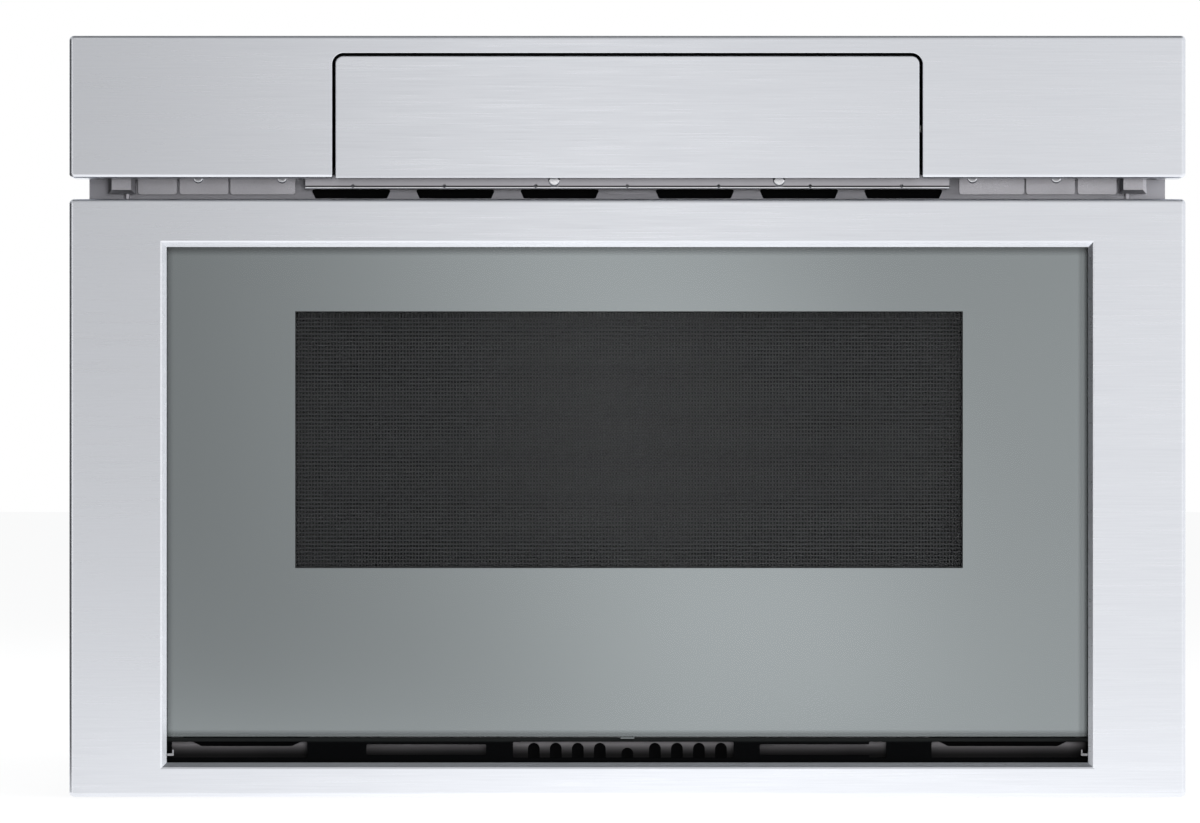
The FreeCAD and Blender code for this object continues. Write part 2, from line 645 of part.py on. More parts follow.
def gear(module, teeth, width):
    """Spur gear along Z with the middle of one tooth on +X; each flank is an arc through its involute."""
    pitch_r = module * teeth / 2
    base_r = pitch_r * math.cos(PRESSURE_ANGLE)
    tip_r = pitch_r + ADDENDUM * module
    root_r = pitch_r - DEDENDUM * module
    start_r = max(base_r, root_r + 0.02 * module)
    half_pitch = math.pi / (2 * teeth) - BACKLASH / (4 * pitch_r)

    def half_angle(radius):
        """Half of the tooth's angle at a radius."""
        at_radius = math.acos(min(1.0, base_r / radius))
        return half_pitch + involute_offset(PRESSURE_ANGLE) - involute_offset(at_radius)

    edges = []
    step = 2 * math.pi / teeth
    middle_r = (start_r + tip_r) / 2
    for tooth in range(teeth):
        centre = tooth * step
        foot = half_angle(start_r)
        rise = [gear_point(r, centre - half_angle(r)) for r in (start_r, middle_r, tip_r)]
        fall = [gear_point(r, centre + half_angle(r)) for r in (tip_r, middle_r, start_r)]
        root_in = gear_point(root_r, centre - foot)
        root_out = gear_point(root_r, centre + foot)
        root_next = gear_point(root_r, centre + step - foot)
        edges.append(Part.makeLine(root_in, rise[0]))
        edges.append(Part.Arc(*rise).toShape())
        edges.append(Part.Arc(rise[2], gear_point(tip_r, centre), fall[0]).toShape())
        edges.append(Part.Arc(*fall).toShape())
        edges.append(Part.makeLine(fall[2], root_out))
        edges.append(Part.Arc(root_out, gear_point(root_r, centre + step / 2), root_next).toShape())
    return Part.Face(Part.Wire(edges)).extrude(Vector(0, 0, width))


def lay_along_x(shape, x, y, z, turn):
    """Put a gear with its axis along X; turn is the angle of its first tooth from rearward to up."""
    shape.rotate(Vector(0, 0, 0), Z_AXIS, math.degrees(turn))
    axes = FreeCAD.Rotation(Y_AXIS, Z_AXIS, X_AXIS, "XYZ")
    shape.Placement = FreeCAD.Placement(Vector(x, y, z), axes).multiply(shape.Placement)
    return shape


def sheet_panel(length, width, ribs=(), slots=(), lips=()):
    """Sheet with its outer face up at height 0, centred on its own X and Y.

    A rib is (x0, x1, y0, y1, depth), pressed out of the sheet, or into it with a negative depth. A slot
    is (x, y, length along x, length along y). A lip is (x0, x1, y0, y1, height), folded inwards.
    """
    body = block((-length / 2, length / 2), (-width / 2, width / 2), (-SHEET, 0))
    for x0, x1, y0, y1, depth in ribs:
        inner_x = (x0 + SHEET, x1 - SHEET)
        inner_y = (y0 + SHEET, y1 - SHEET)
        if depth > 0:
            pressed = block((x0, x1), (y0, y1), (-SHEET, depth))
            hollow = block(inner_x, inner_y, (-SHEET, depth - SHEET))
        else:
            pressed = block((x0, x1), (y0, y1), (depth - SHEET, 0))
            hollow = block(inner_x, inner_y, (depth, 0))
        body = body.fuse(pressed).cut(hollow)
    for x0, x1, y0, y1, height in lips:
        body = body.fuse(block((x0, x1), (y0, y1), (-height, 0)))
    return without(body, [slot_cutter(*slot) for slot in slots])


def slot_cutter(x, y, along_x, along_y):
    """Long hole with nearly round ends through a flat sheet."""
    radius = min(along_x, along_y) / 2 * 0.98
    x_span = (x - along_x / 2, x + along_x / 2)
    y_span = (y - along_y / 2, y + along_y / 2)
    return rounded(block(x_span, y_span, (-THROUGH, THROUGH)), Z_AXIS, radius)


def stand_panel(shape, origin, x_to, y_to):
    """Put a flat panel in place; its own X and Y axes go to the two directions given."""
    axes = FreeCAD.Rotation(x_to, y_to, x_to.cross(y_to), "XYZ")
    shape.Placement = FreeCAD.Placement(origin, axes)
    return shape


def slot_row(x, y, count, pitch, slot):
    """Row of slots along the panel's own X; slot is their width and length."""
    first = x - (count - 1) * pitch / 2
    return [(first + index * pitch, y, *slot) for index in range(count)]


# ---------------------------------------------------------------- chassis
def side_screw_points():
    """Screws that hold the side panels, on the right side."""
    rows = (BASE_TOP + SCREW_ROW_LOW, CHASSIS_TOP - SCREW_ROW_TOP)
    columns = (SIDE_SCREW_END, CHASSIS_REAR / 2, REAR_INNER - SIDE_SCREW_END)
    return [Vector(CHASSIS_HALF, y, z) for y in columns for z in rows]


def rear_screw_points():
    """Screws that hold the rear panel."""
    columns = (REAR_SCREW_END - SIDE_INNER, SIDE_INNER - REAR_SCREW_END)
    rows = (BASE_TOP + SCREW_ROW_LOW, CHASSIS_TOP - SCREW_ROW_TOP)
    return [Vector(x, CHASSIS_REAR, z) for x in columns for z in rows]


def panel_screw_holes():
    """Holes of all the panel screws."""
    depth = SCREW_LENGTH + SHEET
    right = [screw_hole(point, X_AXIS, depth) for point in side_screw_points()]
    rear = [screw_hole(point, Y_AXIS, depth) for point in rear_screw_points()]
    return right + [left_of(hole) for hole in right] + rear


def base_pan():
    """Bottom sheet with two pressed runners, folded edges and air slots."""
    depth = REAR_INNER
    runner = RUNNER_WIDTH / 2
    runner_x = SIDE_INNER - RUNNER_INSET
    end = depth / 2 - PAN_RUNNER_END
    ribs = [(side * runner_x - runner, side * runner_x + runner, -end, end, RUNNER_HEIGHT)
            for side in (-1, 1)]
    lips = [(-SIDE_INNER, -SIDE_INNER + SHEET, -depth / 2, depth / 2, PAN_FOLD),
            (SIDE_INNER - SHEET, SIDE_INNER, -depth / 2, depth / 2, PAN_FOLD),
            (-SIDE_INNER, SIDE_INNER, depth / 2 - SHEET, depth / 2, PAN_FOLD)]
    slots = slot_row(0, -depth / 4, PAN_SLOTS, PAN_SLOT_PITCH, PAN_SLOT)
    pan = sheet_panel(2 * SIDE_INNER, depth, ribs, slots, lips)
    pan = stand_panel(pan, Vector(0, depth / 2, RUNNER_HEIGHT), X_AXIS.negative(), Y_AXIS)
    return pan.cut(panel_screw_holes())


def side_panel_right():
    """Side sheet with two pressed ribs and rows of air slots."""
    length = REAR_INNER
    height = CHASSIS_TOP - SHEET - RUNNER_HEIGHT
    rib_x = (SIDE_RIB_FRONT - length / 2, length / 2 - SIDE_RIB_REAR)
    half_rib = SIDE_RIB_WIDTH / 2
    ribs = [(*rib_x, side * SIDE_RIB_RISE - half_rib, side * SIDE_RIB_RISE + half_rib, -RIB_DEPTH)
            for side in (-1, 1)]
    slots = []
    for row in range(SIDE_SLOT_ROWS):
        y = height / 2 - SIDE_SLOT_EDGE - row * SIDE_SLOT_ROW_PITCH
        x = length / 2 - SIDE_SLOT_REAR
        slots += slot_row(x, y, SIDE_SLOTS, SIDE_SLOT_PITCH, SIDE_SLOT)
        slots += slot_row(x, -y, SIDE_SLOTS, SIDE_SLOT_PITCH, SIDE_SLOT)
    panel = sheet_panel(length, height, ribs, slots)
    middle = Vector(CHASSIS_HALF, length / 2, RUNNER_HEIGHT + height / 2)
    return stand_panel(panel, middle, Y_AXIS, Z_AXIS).cut(panel_screw_holes())


def top_cover():
    """Lid of the chassis, folded down inside the side panels."""
    width = 2 * CHASSIS_HALF
    depth = CHASSIS_REAR
    rib_y = (LID_RIB_FRONT - depth / 2, depth / 2 - LID_RIB_REAR)
    half_rib = LID_RIB_WIDTH / 2
    ribs = [(x - half_rib, x + half_rib, *rib_y, -RIB_DEPTH) for x in (-LID_RIB_PITCH, 0, LID_RIB_PITCH)]
    slots = []
    for row in range(LID_SLOT_ROWS):
        y = depth / 2 - LID_SLOT_REAR - row * LID_SLOT_ROW_PITCH
        for x in (-LID_SLOT_SIDE, LID_SLOT_SIDE):
            slots += slot_row(x, y, LID_SLOTS, LID_SLOT_PITCH, LID_SLOT)
    front = LID_FOLD_START - depth / 2
    rear = REAR_INNER - depth / 2
    lips = [(-SIDE_INNER, -SIDE_INNER + SHEET, front, rear, LID_FOLD),
            (SIDE_INNER - SHEET, SIDE_INNER, front, rear, LID_FOLD),
            (-SIDE_INNER, SIDE_INNER, rear - SHEET, rear, LID_FOLD)]
    lid = sheet_panel(width, depth, ribs, slots, lips)
    lid = stand_panel(lid, Vector(0, depth / 2, CHASSIS_TOP), X_AXIS, Y_AXIS)
    return lid.cut(panel_screw_holes())


def gland_place():
    """Middle of the cord gland on the rear panel's outer face."""
    return Vector(-CAVITY_INNER, CHASSIS_REAR, BASE_TOP + GLAND_RISE)


def rear_panel():
    """Back sheet with a round fan grille, outlet slots and the hole for the cord gland."""
    width = 2 * CHASSIS_HALF
    height = CHASSIS_TOP - SHEET - RUNNER_HEIGHT
    middle_z = RUNNER_HEIGHT + height / 2
    half_rib = REAR_RIB_WIDTH / 2
    ribs = [(*REAR_RIB_SPAN, z - half_rib, z + half_rib, -RIB_DEPTH) for z in REAR_RIB_PLACES]
    slots = []
    for row in range(REAR_SLOT_ROWS):
        x, y = REAR_SLOT_PLACE
        slots += slot_row(x, y + row * REAR_SLOT_ROW_PITCH, REAR_SLOTS, REAR_SLOT_PITCH, REAR_SLOT)
    panel = sheet_panel(width, height, ribs, slots)
    grille = Vector(-FAN_X, FAN_Z - middle_z, -THROUGH)
    cutters = []
    for radius, count in FAN_GRILLE:
        for index in range(count):
            place = FreeCAD.Rotation(Z_AXIS, 360 * index / count).multVec(Vector(radius, 0, 0))
            cutters.append(rod(grille.add(place), Z_AXIS, FAN_GRILLE_HOLE_R, 2 * THROUGH))
    panel = panel.cut(cutters)
    panel = stand_panel(panel, Vector(0, CHASSIS_REAR, middle_z), X_AXIS.negative(), Z_AXIS)
    neck_hole = rod(gland_place().add(Y_AXIS), Y_AXIS.negative(), GLAND_R + GLAND_WALL + SHAFT_FIT,
                    2 * THROUGH)
    return panel.cut(panel_screw_holes() + [neck_hole])


def panel_screws():
    """Pan-head screws of the side and rear panels."""
    right = [screw(point, X_AXIS, SCREW_LENGTH) for point in side_screw_points()]
    rear = [screw(point, Y_AXIS, SCREW_LENGTH) for point in rear_screw_points()]
    return Part.makeCompound(right + [left_of(one) for one in right] + rear)


def cord_gland():
    """Strain-relief bush in the rear panel, with its bore open for the mains cord."""
    place = gland_place()
    outer = GLAND_R + GLAND_WALL
    inside = place.sub(Y_AXIS * SHEET)
    nut_end = inside.sub(Y_AXIS * GLAND_NUT)
    flange = rod(place, Y_AXIS, outer + GLAND_WALL, GLAND_FLANGE)
    barrel = rod(place.add(Y_AXIS * GLAND_FLANGE), Y_AXIS, outer, GLAND_PROUD - GLAND_FLANGE)
    neck = rod(inside, Y_AXIS, outer, SHEET)
    nut = rod(nut_end, Y_AXIS, GLAND_R + GLAND_NUT, GLAND_NUT)
    bore = rod(nut_end.sub(Y_AXIS), Y_AXIS, GLAND_R, GLAND_NUT + SHEET + GLAND_PROUD + 2)
    grips = []
    for index in range(GLAND_GRIPS):
        angle = 2 * math.pi * index / GLAND_GRIPS
        at = Vector(outer * math.cos(angle), GLAND_PROUD / 2, outer * math.sin(angle))
        grips.append(rod(place.add(at), Y_AXIS, GLAND_GRIP_R, GLAND_PROUD))
    return joined([nut, neck, flange, barrel]).cut([bore] + grips)


def cavity_mouth():
    """Hole in the flange that the drawer passes."""
    return across(CAVITY_HALF, (-THROUGH, THROUGH), (CAVITY_FLOOR - 2 * SHEET, CEILING_TOP))


def rail_slot():
    """Hole in the flange that the right slide passes."""
    half = RAIL_HEIGHT / 2 + SLOT_CLEAR
    x = (RAIL_INNER + SLOT_CLEAR, RAIL_INNER + RAIL_WIDTH + RAIL_STEEL + SLOT_CLEAR)
    return block(x, (-THROUGH, THROUGH), (RAIL_Z - half, RAIL_Z + half))


def vent_cutter(centre):
    """Trapezoid air slot in the flange, wider at the top."""
    top = FASCIA_LOW - VENT_DROP
    low = top - VENT_SLOT_HEIGHT
    half_top = VENT_TOP_WIDTH / 2
    half_low = half_top - VENT_SLOT_HEIGHT * VENT_SLOPE
    points = [(centre - half_top, top), (centre + half_top, top),
              (centre + half_low, low), (centre - half_low, low)]
    return rounded(prism_y(points, (-THROUGH, THROUGH)), Y_AXIS, VENT_CORNER)


def vent_cutters():
    """All the air slots above the ledge bar's length, alike on both sides."""
    room = LEDGE_HALF - VENT_TOP_WIDTH / 2 - VENT_FIRST
    centres = [VENT_FIRST + index * VENT_PITCH for index in range(int(room / VENT_PITCH) + 1)]
    return [vent_cutter(side * centre) for centre in centres for side in (-1, 1)]


def mount_points():
    """Cabinet screws in the sides of the flange."""
    x = FLANGE_HALF - MOUNT_INSET
    return [Vector(side * x, 0, MOUNT_LOWEST + row * MOUNT_SPACING_Z) for side in (-1, 1) for row in (0, 1)]


def front_flange():
    """Bulkhead that seats on the cabinet's face and holds the fronts."""
    body = across(FLANGE_HALF, (FLANGE_FRONT, 0), (FRONT_LIFT + FLANGE_LIFT, CHASSIS_TOP + FLANGE_RISE))
    body = rounded(body, Y_AXIS, FLANGE_CORNER)
    half_slot, half_slot_height = LATCH_SLOT
    latch = block((LATCH_X - half_slot, LATCH_X + half_slot), (-THROUGH, THROUGH),
                  (LATCH_Z - half_slot_height, LATCH_Z + half_slot_height))
    rack_z = (RACK_PITCH_LINE - DEDENDUM * RACK_MODULE - GUIDE_WALL, RACK_TOP + GUIDE_WALL)
    rack = across(RACK_HALF + GUIDE_WALL + SLIDE_FIT, (-THROUGH, THROUGH), rack_z)
    slot = rail_slot()
    cutters = [cavity_mouth(), slot, left_of(slot), latch, left_of(latch), rack, weld_groove()]
    cutters += vent_cutters()
    for point in mount_points():
        cutters.append(rod(Vector(point.x, -THROUGH, point.z), Y_AXIS, MOUNT_HOLE_R, 2 * THROUGH))
    tab_z = FASCIA_LOW - PLATE_DROP
    tab = across(TAB_HALF, (FLANGE_FRONT - TAB_RAISE, FLANGE_FRONT), (tab_z, tab_z + TAB_HEIGHT))
    return joined([body.cut(cutters), tab])


def weld_groove():
    """Shallow groove in the flange's back, just outside the chassis shell that is welded to it."""
    outer = (CHASSIS_HALF + WELD_GROOVE, RUNNER_HEIGHT - WELD_GROOVE, CHASSIS_TOP + WELD_GROOVE)
    inner = (CHASSIS_HALF, RUNNER_HEIGHT, CHASSIS_TOP)
    return ring(outer, inner, (-WELD_GROOVE_DEPTH, THROUGH))


def plate_spans():
    """Left and right ends of the raised plates on the right side, from the outer to the inner one."""
    spans = []
    outer = BUMPER_INNER
    for width, gap in zip(PLATE_WIDTHS, PLATE_GAPS):
        outer -= gap
        spans.append((outer - width, outer))
        outer -= width
    return spans


def plate_screw_points():
    """Where the screws of the raised plates seat, on the right side."""
    z = FASCIA_LOW + REVEAL_SCREW_RISE
    return [Vector(plate_spans()[number][0] + place, PLATE_FRONT, z) for number, place in PLATE_SCREWS]


def ledge_screw_points():
    """Where the screws of the ledge bar seat."""
    return [Vector(x, LEDGE_FRONT, FASCIA_LOW - LEDGE_SCREW_DROP) for x in LEDGE_SCREWS]


def reveal_plates():
    """Three raised plates on each side of the flange, seen in the gap above the drawer front."""
    z = (FASCIA_LOW - PLATE_DROP, FASCIA_LOW + PLATE_RISE)
    holes = [screw_hole(point, Y_AXIS.negative(), PLATE_RAISE) for point in plate_screw_points()]
    plates = []
    for span in plate_spans():
        body = plate(span, (PLATE_FRONT, FLANGE_FRONT), z, PLATE_CORNER).cut(holes)
        plates += [body, left_of(body)]
    return Part.makeCompound(plates)


def bumper_blocks():
    """Stops for the drawer front's upper corners, each on a steel pin."""
    z = (FASCIA_LOW - BUMPER_DROP, FASCIA_LOW - BUMPER_DROP + BUMPER_HEIGHT)
    front = FLANGE_FRONT - BUMPER_DEPTH
    body = block((BUMPER_INNER, BUMPER_OUTER), (front, FLANGE_FRONT), z)
    face = [edge for edge in body.Edges if edge.BoundBox.YMax < front + 0.01]
    body = body.makeChamfer(BUMPER_CHAMFER, face)
    pin_at = Vector(BUMPER_INNER + BUMPER_PIN_INSET, FLANGE_FRONT - BUMPER_DEPTH / 2,
                    z[0] - BUMPER_PIN_LENGTH)
    pin = rod(pin_at, Z_AXIS, BUMPER_PIN_R, BUMPER_PIN_LENGTH + BUMPER_PIN_R)
    return both_sides(joined([body, pin]))


def ledge_bar():
    """Angle under the fascia with a rolled lip and a row of small holes."""
    low = FASCIA_LOW - LEDGE_DROP + LEDGE_LIP_R
    top = HOUSING_FLOOR
    face = across(LEDGE_HALF, (LEDGE_FRONT, LEDGE_FRONT + SHEET), (low, top))
    shelf = across(LEDGE_HALF, (LEDGE_FRONT, FLANGE_FRONT), (top - SHEET, top))
    lip = rod(Vector(-LEDGE_HALF, LEDGE_FRONT + LEDGE_LIP_R / 2, low), X_AXIS, LEDGE_LIP_R, 2 * LEDGE_HALF)
    hole_z = FASCIA_LOW - LEDGE_HOLE_DROP
    holes = [rod(Vector(index * LEDGE_HOLE_PITCH, LEDGE_FRONT - SHEET, hole_z), Y_AXIS, LEDGE_HOLE_R,
                 3 * SHEET) for index in range(-LEDGE_HOLES, LEDGE_HOLES + 1)]
    holes += [screw_hole(point, Y_AXIS.negative(), 2 * SHEET) for point in ledge_screw_points()]
    return joined([face, shelf, lip]).cut(holes)


def reveal_screws():
    """Screws of the raised plates and of the ledge bar, half hidden by the fascia."""
    outward = Y_AXIS.negative()
    right = [screw(point, outward, PLATE_RAISE - SCREW_FIT, REVEAL_SCREW_R) for point in plate_screw_points()]
    ledge = [screw(point, outward, SHEET - SCREW_FIT, LEDGE_SCREW_R) for point in ledge_screw_points()]
    return Part.makeCompound(right + [left_of(one) for one in right] + ledge)


# ---------------------------------------------------------------- control fascia and flap
def rim_of(shape):
    """Edges round the front face of a shape."""
    return [edge for edge in shape.Edges if edge.BoundBox.YMax < FRONT + 0.01]


def front_blank(back, low, top):
    """Blank of a stainless front, with rounded corners and soft folds round its face."""
    body = rounded(across(FRONT_HALF, (FRONT, back), (low, top)), Y_AXIS, FOLD_CORNER)
    return body.makeFillet(FOLD_ROUND, rim_of(body))


def control_fascia():
    """Stainless fascia, folded back to the flange, with the opening for the flap."""
    body = front_blank(FLANGE_FRONT, FASCIA_LOW, FASCIA_TOP)
    inside_low = FASCIA_LOW + SKIN
    hollow = across(FRONT_HALF - SKIN, (SKIN_BACK, FLANGE_FRONT - SKIN), (inside_low, FASCIA_TOP - SKIN))
    back_window = across(FLANGE_HALF - FASCIA_FOLD, (FLANGE_FRONT - 2 * SKIN, THROUGH),
                         (FASCIA_LOW - SKIN, CHASSIS_TOP + FLANGE_RISE - FASCIA_FOLD))
    housing_room = across(HOUSING_INNER + SHEET + SKIN_LAP, (SKIN_BACK, THROUGH),
                          (inside_low, HOUSING_TOP + SHEET + SKIN_LAP))
    below = across(FLANGE_HALF - FASCIA_FOLD / 2, (FRONT + FASCIA_LOWER_FOLD, THROUGH),
                   (FASCIA_LOW - SKIN, inside_low + SKIN_LAP))
    opening = across(FLAP_OPENING_HALF, (FRONT - SKIN, THROUGH), (FASCIA_LOW - THROUGH, FLAP_OPENING_TOP))
    opening = rounded(opening, Y_AXIS, FLAP_CORNER + FLAP_GAP, lambda p: p.z > FASCIA_LOW)
    body = body.cut([hollow, back_window, housing_room, below, opening])

    def at_opening(edge):
        """Whether an edge of the face lies on the opening for the flap."""
        box = edge.BoundBox
        half = FLAP_OPENING_HALF + OPENING_ROUND
        return -half < box.XMin and box.XMax < half and box.ZMax < FLAP_OPENING_TOP + OPENING_ROUND

    return body.makeFillet(OPENING_ROUND, [edge for edge in rim_of(body) if at_opening(edge)])


def flap_face():
    """Stainless flap that lies flush in the fascia, with short folded edges."""
    outer = across(FLAP_HALF, (FRONT, FRONT + FLAP_RETURN), (FASCIA_LOW, FLAP_TOP))
    outer = rounded(outer, Y_AXIS, FLAP_CORNER, lambda p: p.z > PIVOT_Z)
    inner = across(FLAP_HALF - SKIN, (SKIN_BACK, 0), (FASCIA_LOW + SKIN, FLAP_TOP - SKIN))
    inner = rounded(inner, Y_AXIS, FLAP_CORNER - SKIN, lambda p: p.z > PIVOT_Z)
    return outer.makeFillet(FLAP_ROUND, rim_of(outer)).cut(inner)


def flap_tray():
    """Moulded tray behind the flap that carries the touch glass and the pivot ears."""
    low = PIVOT_Z + 1.0
    top = TOUCH_TOP - TOUCH_THICK
    rest = TOUCH_REST
    hull = across(TRAY_HALF, (SKIN_BACK, TRAY_REAR), (low, top))
    room = across(TRAY_HALF - TRAY_WALL, (SKIN_BACK + TRAY_WALL, TRAY_REAR - TRAY_WALL),
                  (low + TRAY_WALL, top - TRAY_WALL))
    pocket = across(TRAY_HALF - rest, (SKIN_BACK + rest, TRAY_REAR - rest), (top - 2 * TRAY_WALL, top + 1))
    parts = [hull.cut([room, pocket])]
    ear_out = FLAP_HALF - SKIN - EAR_GAP
    ear_in = ear_out - EAR_WIDTH
    web_low = FASCIA_LOW + SKIN + EAR_GAP
    for side in (-1, 1):
        x = (side * ear_in, side * ear_out)
        boss = rod(Vector(min(x), PIVOT_Y, PIVOT_Z), X_AXIS, EAR_R, EAR_WIDTH)
        web = block(x, (SKIN_BACK, PIVOT_Y), (web_low, PIVOT_Z + 2 * EAR_R))
        cheek = block(x, (PIVOT_Y - SHAFT_FIT, PIVOT_Y + EAR_R), (PIVOT_Z, PIVOT_Z + EAR_R))
        wing = block((side * (TRAY_HALF - TRAY_WALL), side * ear_out), (SKIN_BACK, SKIN_BACK + TRAY_WALL),
                     (low, top - 3 * TRAY_WALL))
        parts += [boss, web, cheek, wing]
    bore = rod(Vector(-FLAP_HALF, PIVOT_Y, PIVOT_Z), X_AXIS, PIVOT_PIN_R + SHAFT_FIT, 2 * FLAP_HALF)
    return joined(parts).cut(bore)


def touch_glass():
    """Glass strip on the tray; it faces the user once the flap is open."""
    y = (SKIN_BACK + TRAY_WALL * 0.75, TRAY_REAR - TRAY_WALL * 0.3)
    body = across(TRAY_HALF - TRAY_WALL / 2, y, (TOUCH_TOP - TOUCH_THICK, TOUCH_TOP))
    return rounded(body, Z_AXIS, TOUCH_CORNER)


def display_board():
    """Display and key board under the touch glass."""
    top = TOUCH_TOP - TOUCH_THICK - TRAY_WALL - SLIDE_FIT
    low = top - BOARD_THICK
    pcb = across(TRAY_HALF - TOUCH_REST - TRAY_WALL, (SKIN_BACK + TRAY_WALL, TRAY_REAR - TRAY_WALL),
                 (low, top))
    display = across(DISPLAY_HALF, (SKIN_BACK + TOUCH_REST, TRAY_REAR - TOUCH_REST),
                     (top, top + DISPLAY_HEIGHT))
    plug_y = SKIN_BACK + TOUCH_REST + TRAY_WALL
    connector = block(CONNECTOR, (plug_y, plug_y + 8.0), (low - 7.0, low))
    return joined([pcb, display, connector])


def flap_sector():
    """Sector gear on the right end of the tray, centred on the pivot."""
    body = gear(FLAP_MODULE, SECTOR_TEETH, FLAP_GEAR_WIDTH)
    half_step = math.pi / SECTOR_TEETH
    body = lay_along_x(body, TRAY_HALF, PIVOT_Y, PIVOT_Z, math.radians(FLAP_GEAR_ANGLE) + half_step)
    reach = SECTOR_R * 3
    wedge = [(PIVOT_Y, PIVOT_Z)]
    first = FLAP_GEAR_ANGLE - FLAP_TRAVEL - SECTOR_MARGIN
    last = FLAP_GEAR_ANGLE + SECTOR_MARGIN
    for angle in (first, (first + last) / 2, last):
        turned = math.radians(angle)
        wedge.append((PIVOT_Y + reach * math.cos(turned), PIVOT_Z + reach * math.sin(turned)))
    x = (TRAY_HALF, TRAY_HALF + FLAP_GEAR_WIDTH)
    hub = rod(Vector(TRAY_HALF, PIVOT_Y, PIVOT_Z), X_AXIS, EAR_R - SLIDE_FIT, FLAP_GEAR_WIDTH)
    hole_at = SECTOR_R * 0.6
    hole_angle = math.radians(FLAP_GEAR_ANGLE - FLAP_TRAVEL / 2)
    hole = rod(Vector(TRAY_HALF - SHEET, PIVOT_Y + hole_at * math.cos(hole_angle),
                      PIVOT_Z + hole_at * math.sin(hole_angle)),
               X_AXIS, SECTOR_R / 8, FLAP_GEAR_WIDTH + 2 * SHEET)
    return joined([body.common(prism_x(wedge, x)), hub]).cut(hole)


def flap_pinion():
    """Pinion and shaft of the flap's motor, in mesh with the sector."""
    wheel = gear(FLAP_MODULE, FLAP_PINION_TEETH, FLAP_GEAR_WIDTH - 2 * SLIDE_FIT)
    start = TRAY_HALF + SLIDE_FIT
    wheel = lay_along_x(wheel, start, FLAP_PINION_Y, FLAP_PINION_Z, math.radians(FLAP_GEAR_ANGLE + 180))
    end = HOUSING_INNER + SHEET + 2 * PIVOT_PIN_R
    shaft = rod(Vector(start, FLAP_PINION_Y, FLAP_PINION_Z), X_AXIS, PIVOT_PIN_R, end - start)
    return joined([wheel, shaft])


def flap_housing():
    """Recess behind the flap: back, floor, ceiling and two sides, with the pivot pins in the sides."""
    outer_half = HOUSING_INNER + SHEET
    body = across(outer_half, (SKIN_BACK, FLANGE_FRONT), (HOUSING_FLOOR, HOUSING_TOP + SHEET))
    room = across(HOUSING_INNER, (SKIN_BACK - SHEET, HOUSING_BACK), (HOUSING_FLOOR + SHEET, HOUSING_TOP))
    swing = across(outer_half + SHEET, (SKIN_BACK - SHEET, PIVOT_Y + EAR_R + SKIN_LAP),
                   (HOUSING_FLOOR - SHEET, HOUSING_FLOOR + SHEET))
    body = body.cut([room, swing])
    cheek_end = LEDGE_FRONT - SHEET - SLIDE_FIT
    cheeks = [block((side * HOUSING_INNER, side * outer_half), (SKIN_BACK, cheek_end),
                    (FASCIA_LOW + SKIN + SKIN_LAP, HOUSING_FLOOR + 2 * SHEET)) for side in (-1, 1)]
    pin_length = outer_half - (FLAP_HALF - SKIN - EAR_GAP - EAR_WIDTH)
    pins = [rod(Vector(outer_half, PIVOT_Y, PIVOT_Z), X_AXIS.negative(), PIVOT_PIN_R, pin_length),
            rod(Vector(-outer_half, PIVOT_Y, PIVOT_Z), X_AXIS, PIVOT_PIN_R, pin_length)]
    body = joined([body] + cheeks + pins)
    return body.cut(rod(Vector(HOUSING_INNER - SHEET, FLAP_PINION_Y, FLAP_PINION_Z), X_AXIS,
                        PIVOT_PIN_R * 1.5, 3 * SHEET))


def flap_gearmotor():
    """Small gearmotor that tilts the flap, on the housing's right side."""
    length, half_depth, half_height = FLAP_MOTOR_BOX
    start = HOUSING_INNER + SHEET
    end = start + length + FLAP_MOTOR_LENGTH
    z = (FLAP_PINION_Z - half_height, FLAP_PINION_Z + half_height)
    axle = Vector(start, FLAP_PINION_Y, FLAP_PINION_Z)
    box = plate((start, start + length), (FLAP_PINION_Y - half_depth, FLAP_PINION_Y + FLAP_MOTOR_R), z,
                SHEET)
    can = rod(axle.add(X_AXIS * length), X_AXIS, FLAP_MOTOR_R, FLAP_MOTOR_LENGTH)
    tail = rod(Vector(end, FLAP_PINION_Y, FLAP_PINION_Z), X_AXIS, FLAP_MOTOR_R / 2, FLAP_MOTOR_R / 3)
    bore = rod(axle.sub(X_AXIS), X_AXIS, PIVOT_PIN_R + SHAFT_FIT, 3 * PIVOT_PIN_R)
    return joined([box, can, tail]).cut(bore)


# ---------------------------------------------------------------- drawer front
def drawer_front_frame():
    """Stainless frame round the glass, folded back, with a 45 degree chamfer at the opening."""
    body = front_blank(CORE_BACK, FRONT_LIFT, DRAWER_TOP)
    hollow = across(FRONT_HALF - SKIN, (SKIN_BACK, THROUGH), (FRONT_LIFT + SKIN, DRAWER_TOP - SKIN))
    top_notch = across(FLANGE_HALF, (FRONT + TOP_RETURN, THROUGH), (CORE_TOP, DRAWER_TOP + SKIN))
    bezel = ring((CORE_HALF, CORE_LOW, CORE_TOP), (OPENING_HALF, OPENING_LOW, OPENING_TOP),
                 (FRONT, GLASS_FRONT))
    body = body.cut([hollow, top_notch]).fuse(bezel)
    opening = across(OPENING_HALF, (FRONT - SKIN, THROUGH), (OPENING_LOW, OPENING_TOP))
    return body.cut([opening] + chamfer_cutters()).removeSplitter()


